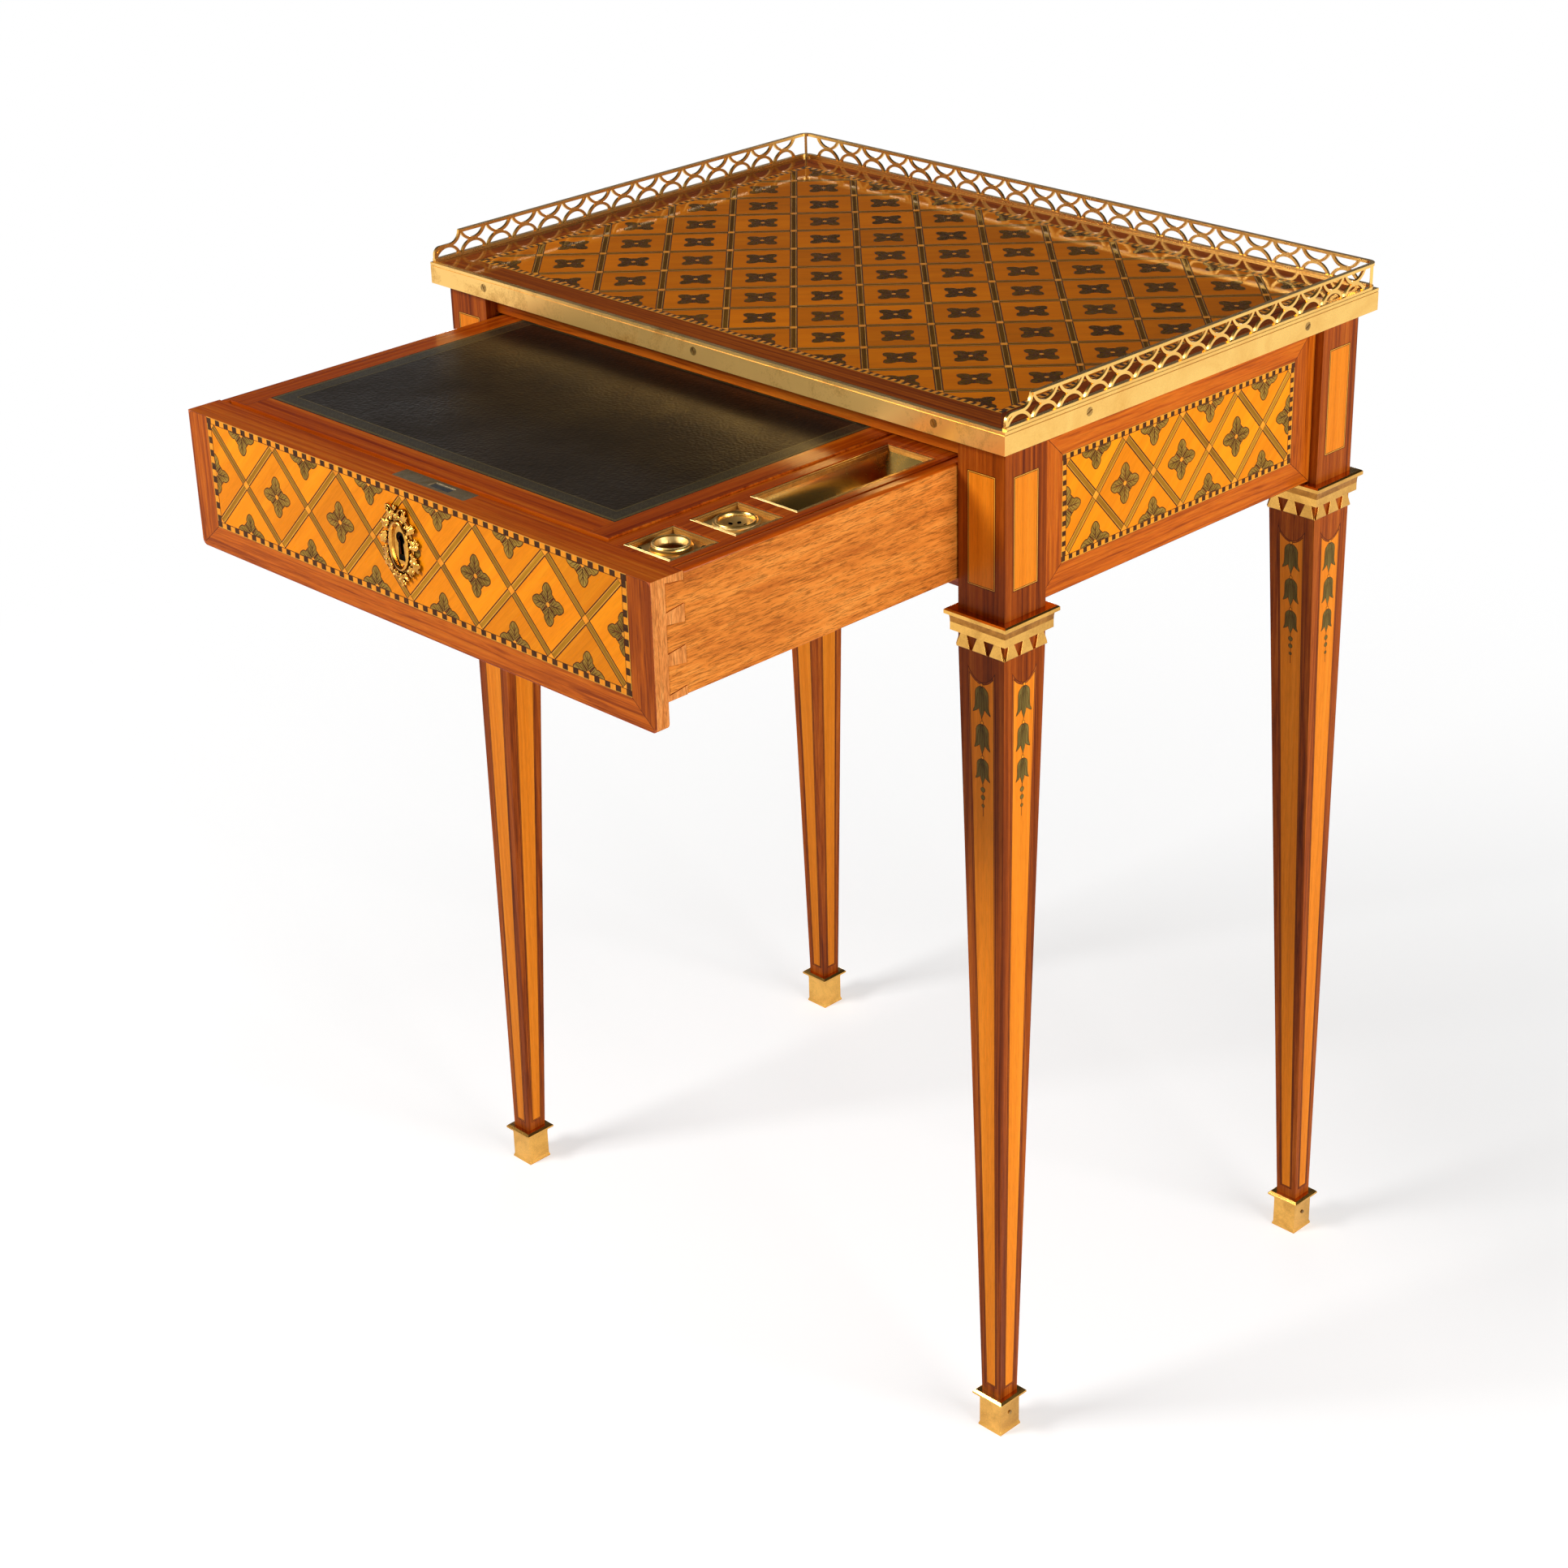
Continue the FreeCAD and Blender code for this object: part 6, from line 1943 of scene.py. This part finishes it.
@dataclass
class WritingSlide:
    """The sliding panel with its leather and the leather's tooled border."""

    low: Point = (-194.2, -257.7)
    high: Point = (138.6, -32.7)
    stiles: tuple[Point, Point] = ((-209.6, -276.8), (154.0, -13.6))
    level: float = 708.0
    ease: float = 0.8
    inset: float = 1.6
    border: float = 10.4
    line: float = 0.4
    lines: tuple[tuple[float, Leather], ...] = ((0.9, GILT_LINE), (1.9, GILT_LINE), (2.7, TOOLING), (10.7, TOOLING),
                                                (11.8, GILT_LINE))
    ring: float = 3.2
    ring_walls: Point = (0.7, 1.0)
    gap: Point = (1.5, 2.4)
    link: tuple[Point, Point] = ((3.1, -0.3), (5.0, 0.3))
    pitch: float = 8.1

    def hoop(self, name: str, inset: float, width: float, z: float, finish: bpy.types.Material) -> Piece:
        """Draws a line that runs round the leather.

        Args:
            name: the line's name.
            inset: how far it is from the leather's edge, in mm.
            width: how wide it is.
            z: its height in the drawing.
            finish: its finish.

        Returns:
            The line.
        """
        low = (self.low[0] + inset, self.low[1] + inset)
        high = (self.high[0] - inset, self.high[1] - inset)
        piece = rectangle(name, low, high, z)
        with opened(piece):
            bpy.ops.mesh.inset(thickness=width * MM)
            bpy.ops.mesh.delete(type="FACE")
        dressed(piece, finish)
        set_grain(piece, 0)
        return piece

    def scrolls(self) -> Piece:
        """Draws the chain of small rings pressed into the border.

        Returns:
            The chain.
        """
        ring = disc("ring", self.ring, Layer.TOOLED, sides=12)
        with opened(ring):
            for wall in self.ring_walls:
                bpy.ops.mesh.inset(thickness=wall * MM)
            pick_faces(ring, lambda m, n: self.gap[0] < m.xy.length < self.gap[1])
            bpy.ops.mesh.delete(type="FACE")
        dressed(ring, TOOLING.finish())
        ring = joined("ring", [ring, dressed(rectangle("link", *self.link, Layer.TOOLED), TOOLING.finish())])
        set_grain(ring, 0)
        line = self.inset + self.border / 2
        x0, y0, x1, y1 = self.low[0] + line, self.low[1] + line, self.high[0] - line, self.high[1] - line
        corners = [(x0, y0), (x1, y0), (x1, y1), (x0, y1)]
        spots = []
        for (ax, ay), (bx, by) in zip(corners, corners[1:] + corners[:1]):
            count = round(math.hypot(bx - ax, by - ay) / self.pitch)
            turn = math.degrees(math.atan2(by - ay, bx - ax))
            spots += [copied(ring, ax + (bx - ax) * n / count, ay + (by - ay) * n / count, turn) for n in range(count)]
        dropped(ring)
        return joined("tooled_scrolls", spots)

    def build(self) -> None:
        """Dresses the panel and its leather, and tools the border."""
        eased("writing_panel", RED_MAHOGANY.finish(Grain.ALONG_X), self.ease)
        wear(CALF.finish(), "writing_leather")
        bed = Bed.facing((0, 0, 1), (0, 0, self.level))
        field = ((self.low[0], self.stiles[0][1]), (self.high[0], self.stiles[1][1]))
        CrossBanding("slide_stiles", "writing_slide", self.stiles, field, RED_MAHOGANY,
                     (Side.RIGHT, Side.LEFT), slot="mahogany").build(bed)
        strap = self.hoop("tooled_border", self.inset, self.border, Layer.STRAP, TOOLED_CALF.finish())
        lines = [self.hoop("line", inset, self.line, Layer.TOOLED, leather.finish()) for inset, leather in self.lines]
        placed(strap, "writing_slide", bed)
        placed(joined("tooled_lines", lines), "writing_slide", bed)
        placed(self.scrolls(), "writing_slide", bed)


# --------------------------------------------------------------- studio


@dataclass(frozen=True)
class Lamp:
    """A soft box: where it stands, what it points at, its size and its light, in metres and watts."""

    name: str
    place: Triple
    aim: Triple
    size: Point
    watts: float
    colour: str = "#FFFFFF"

    def build(self) -> None:
        """Hangs the lamp."""
        data = bpy.data.lights.new(self.name, "AREA")
        data.shape, data.size, data.size_y = "RECTANGLE", *self.size
        data.energy, data.color = self.watts, linear(self.colour)[:3]
        lamp = bpy.data.objects.new(self.name, data)
        lamp.location, lamp.visible_camera = self.place, False
        lamp.rotation_euler = (Vector(self.aim) - Vector(self.place)).to_track_quat("-Z", "Y").to_euler()
        bpy.context.scene.collection.objects.link(lamp)


@dataclass
class Studio:
    """A pale floor that curves up into a low cove, three soft boxes and the camera, in metres."""

    radius: float = 4.5
    wall: float = 1.7
    cove: float = 0.5
    facets: int = 6
    glow_from: float = 0.55
    glow_full: float = 1.6
    glow_near: float = 0.42
    glow_lift: float = 1.31
    eye: Triple = (1.40141, -1.34949, 1.35687)
    right: Triple = (0.70442809, 0.70926729, -0.02685105)
    up: Triple = (-0.29662974, 0.32855252, 0.89669618)
    lens: float = 70.776
    sky: str = "#E2E0DC"
    sky_strength: float = 0.055
    lamps: tuple[Lamp, ...] = (
        Lamp("side_box", (3.2, 0.1, 1.1), (0, 0.1, 0.5), (2.2, 1.8), 100),
        Lamp("front_box", (-0.9, -1.9, 1.9), (0, -0.1, 0.55), (0.9, 0.6), 54),
        Lamp("back_box", (-2.9, 3.3, 0.36), (0, 0.1, 0.36), (2.4, 0.6), 60))

    def sheet(self) -> Piece:
        """Rolls out the paper: a round floor whose edge is drawn up through a cove into a wall.

        Returns:
            The sheet.
        """
        bpy.ops.mesh.primitive_circle_add(vertices=96, radius=self.radius, fill_type="NGON", location=(0, 0, 0))
        piece = bpy.context.active_object
        step = math.radians(90 / self.facets)
        with opened(piece, "EDGE"):
            bpy.ops.mesh.region_to_loop()
            for n in range(1, self.facets + 1):
                last, angle = step * (n - 1), step * n
                wide = (self.radius + self.cove * math.sin(angle)) / (self.radius + self.cove * math.sin(last))
                lift = self.cove * (math.cos(last) - math.cos(angle))
                bpy.ops.mesh.extrude_region_move(TRANSFORM_OT_translate={"value": (0, 0, lift)})
                stretch(wide, wide)
            bpy.ops.mesh.extrude_region_move(TRANSFORM_OT_translate={"value": (0, 0, self.wall - self.cove)})
            bpy.ops.mesh.select_all(action="SELECT")
            bpy.ops.mesh.normals_make_consistent(inside=True)
        return joined("studio_floor", [piece])

    def paper(self) -> bpy.types.Material:
        """Makes the white paper: pale and plain to the light, white to the eye, with soft shadows left in.

        Returns:
            The material.
        """
        made, tree = blank("white_paper_floor")
        path = add(tree, "ShaderNodeLightPath").outputs
        seen = add(tree, "ShaderNodeMath", {0: path["Is Camera Ray"], 1: path["Is Glossy Ray"]},
                   operation="MAXIMUM").outputs[0]
        seen = add(tree, "ShaderNodeMath", {0: seen, 1: path["Is Transmission Ray"]}, operation="MAXIMUM").outputs[0]
        paper = add(tree, "ShaderNodeBsdfDiffuse", {"Color": "#E6E4E0"})
        sheet = add(tree, "ShaderNodeBsdfDiffuse", {"Color": "#FFFFFF"})
        # The paper glows to pure white away from the feet, and keeps their shadows near them.
        place = add(tree, "ShaderNodeTexCoord").outputs["Object"]
        away = add(tree, "ShaderNodeVectorMath", {0: place}, operation="LENGTH").outputs["Value"]
        share = add(tree, "ShaderNodeMapRange", {"Value": away, "From Min": self.glow_from, "From Max": self.glow_full,
                                                 "To Min": self.glow_near, "To Max": 1.0}).outputs[0]
        level = add(tree, "ShaderNodeMapRange", {"Value": share, "From Min": self.glow_near,
                                                 "To Min": self.glow_lift, "To Max": 1.0}).outputs[0]
        glow = add(tree, "ShaderNodeEmission", {"Color": "#FFFFFF", "Strength": level})
        both = add(tree, "ShaderNodeMixShader", {0: share, 1: sheet.outputs[0], 2: glow.outputs[0]})
        mixed = add(tree, "ShaderNodeMixShader", {0: seen, 1: paper.outputs[0], 2: both.outputs[0]})
        add(tree, "ShaderNodeOutputMaterial", {"Surface": mixed.outputs[0]})
        return made

    def camera(self) -> None:
        """Sets the camera up."""
        data = bpy.data.cameras.new("camera")
        data.lens, data.sensor_width, data.clip_end = self.lens, 36.0, 50
        camera = bpy.data.objects.new("camera", data)
        right, up = Vector(self.right), Vector(self.up)
        camera.matrix_world = Matrix.Translation(self.eye) @ Matrix((right, up, right.cross(up))).transposed().to_4x4()
        bpy.context.scene.collection.objects.link(camera)
        bpy.context.scene.camera = camera

    def build(self) -> None:
        """Sets the scene up round the table."""
        piece = dressed(self.sheet(), self.paper())
        self.camera()
        for lamp in self.lamps:
            lamp.build()
        world = bpy.data.worlds.new("studio")
        bpy.context.scene.world = world
        world.use_nodes = True
        world.node_tree.nodes.clear()
        sky = add(world.node_tree, "ShaderNodeBackground", {"Color": self.sky, "Strength": self.sky_strength})
        add(world.node_tree, "ShaderNodeOutputWorld", {"Surface": sky.outputs[0]})
        bpy.context.scene.view_settings.view_transform = "Standard"


def main() -> None:
    """Builds each sub-assembly in turn and reports it."""
    logging.basicConfig(level=logging.INFO, format="%(message)s")
    for part in (Studio(), Legs(), Top(), Carcase(), Drawer(), Escutcheon(), Fittings(), WritingSlide()):
        part.build()
        LOG.info("built %s", type(part).__name__)


if __name__ == "__main__":
    main()
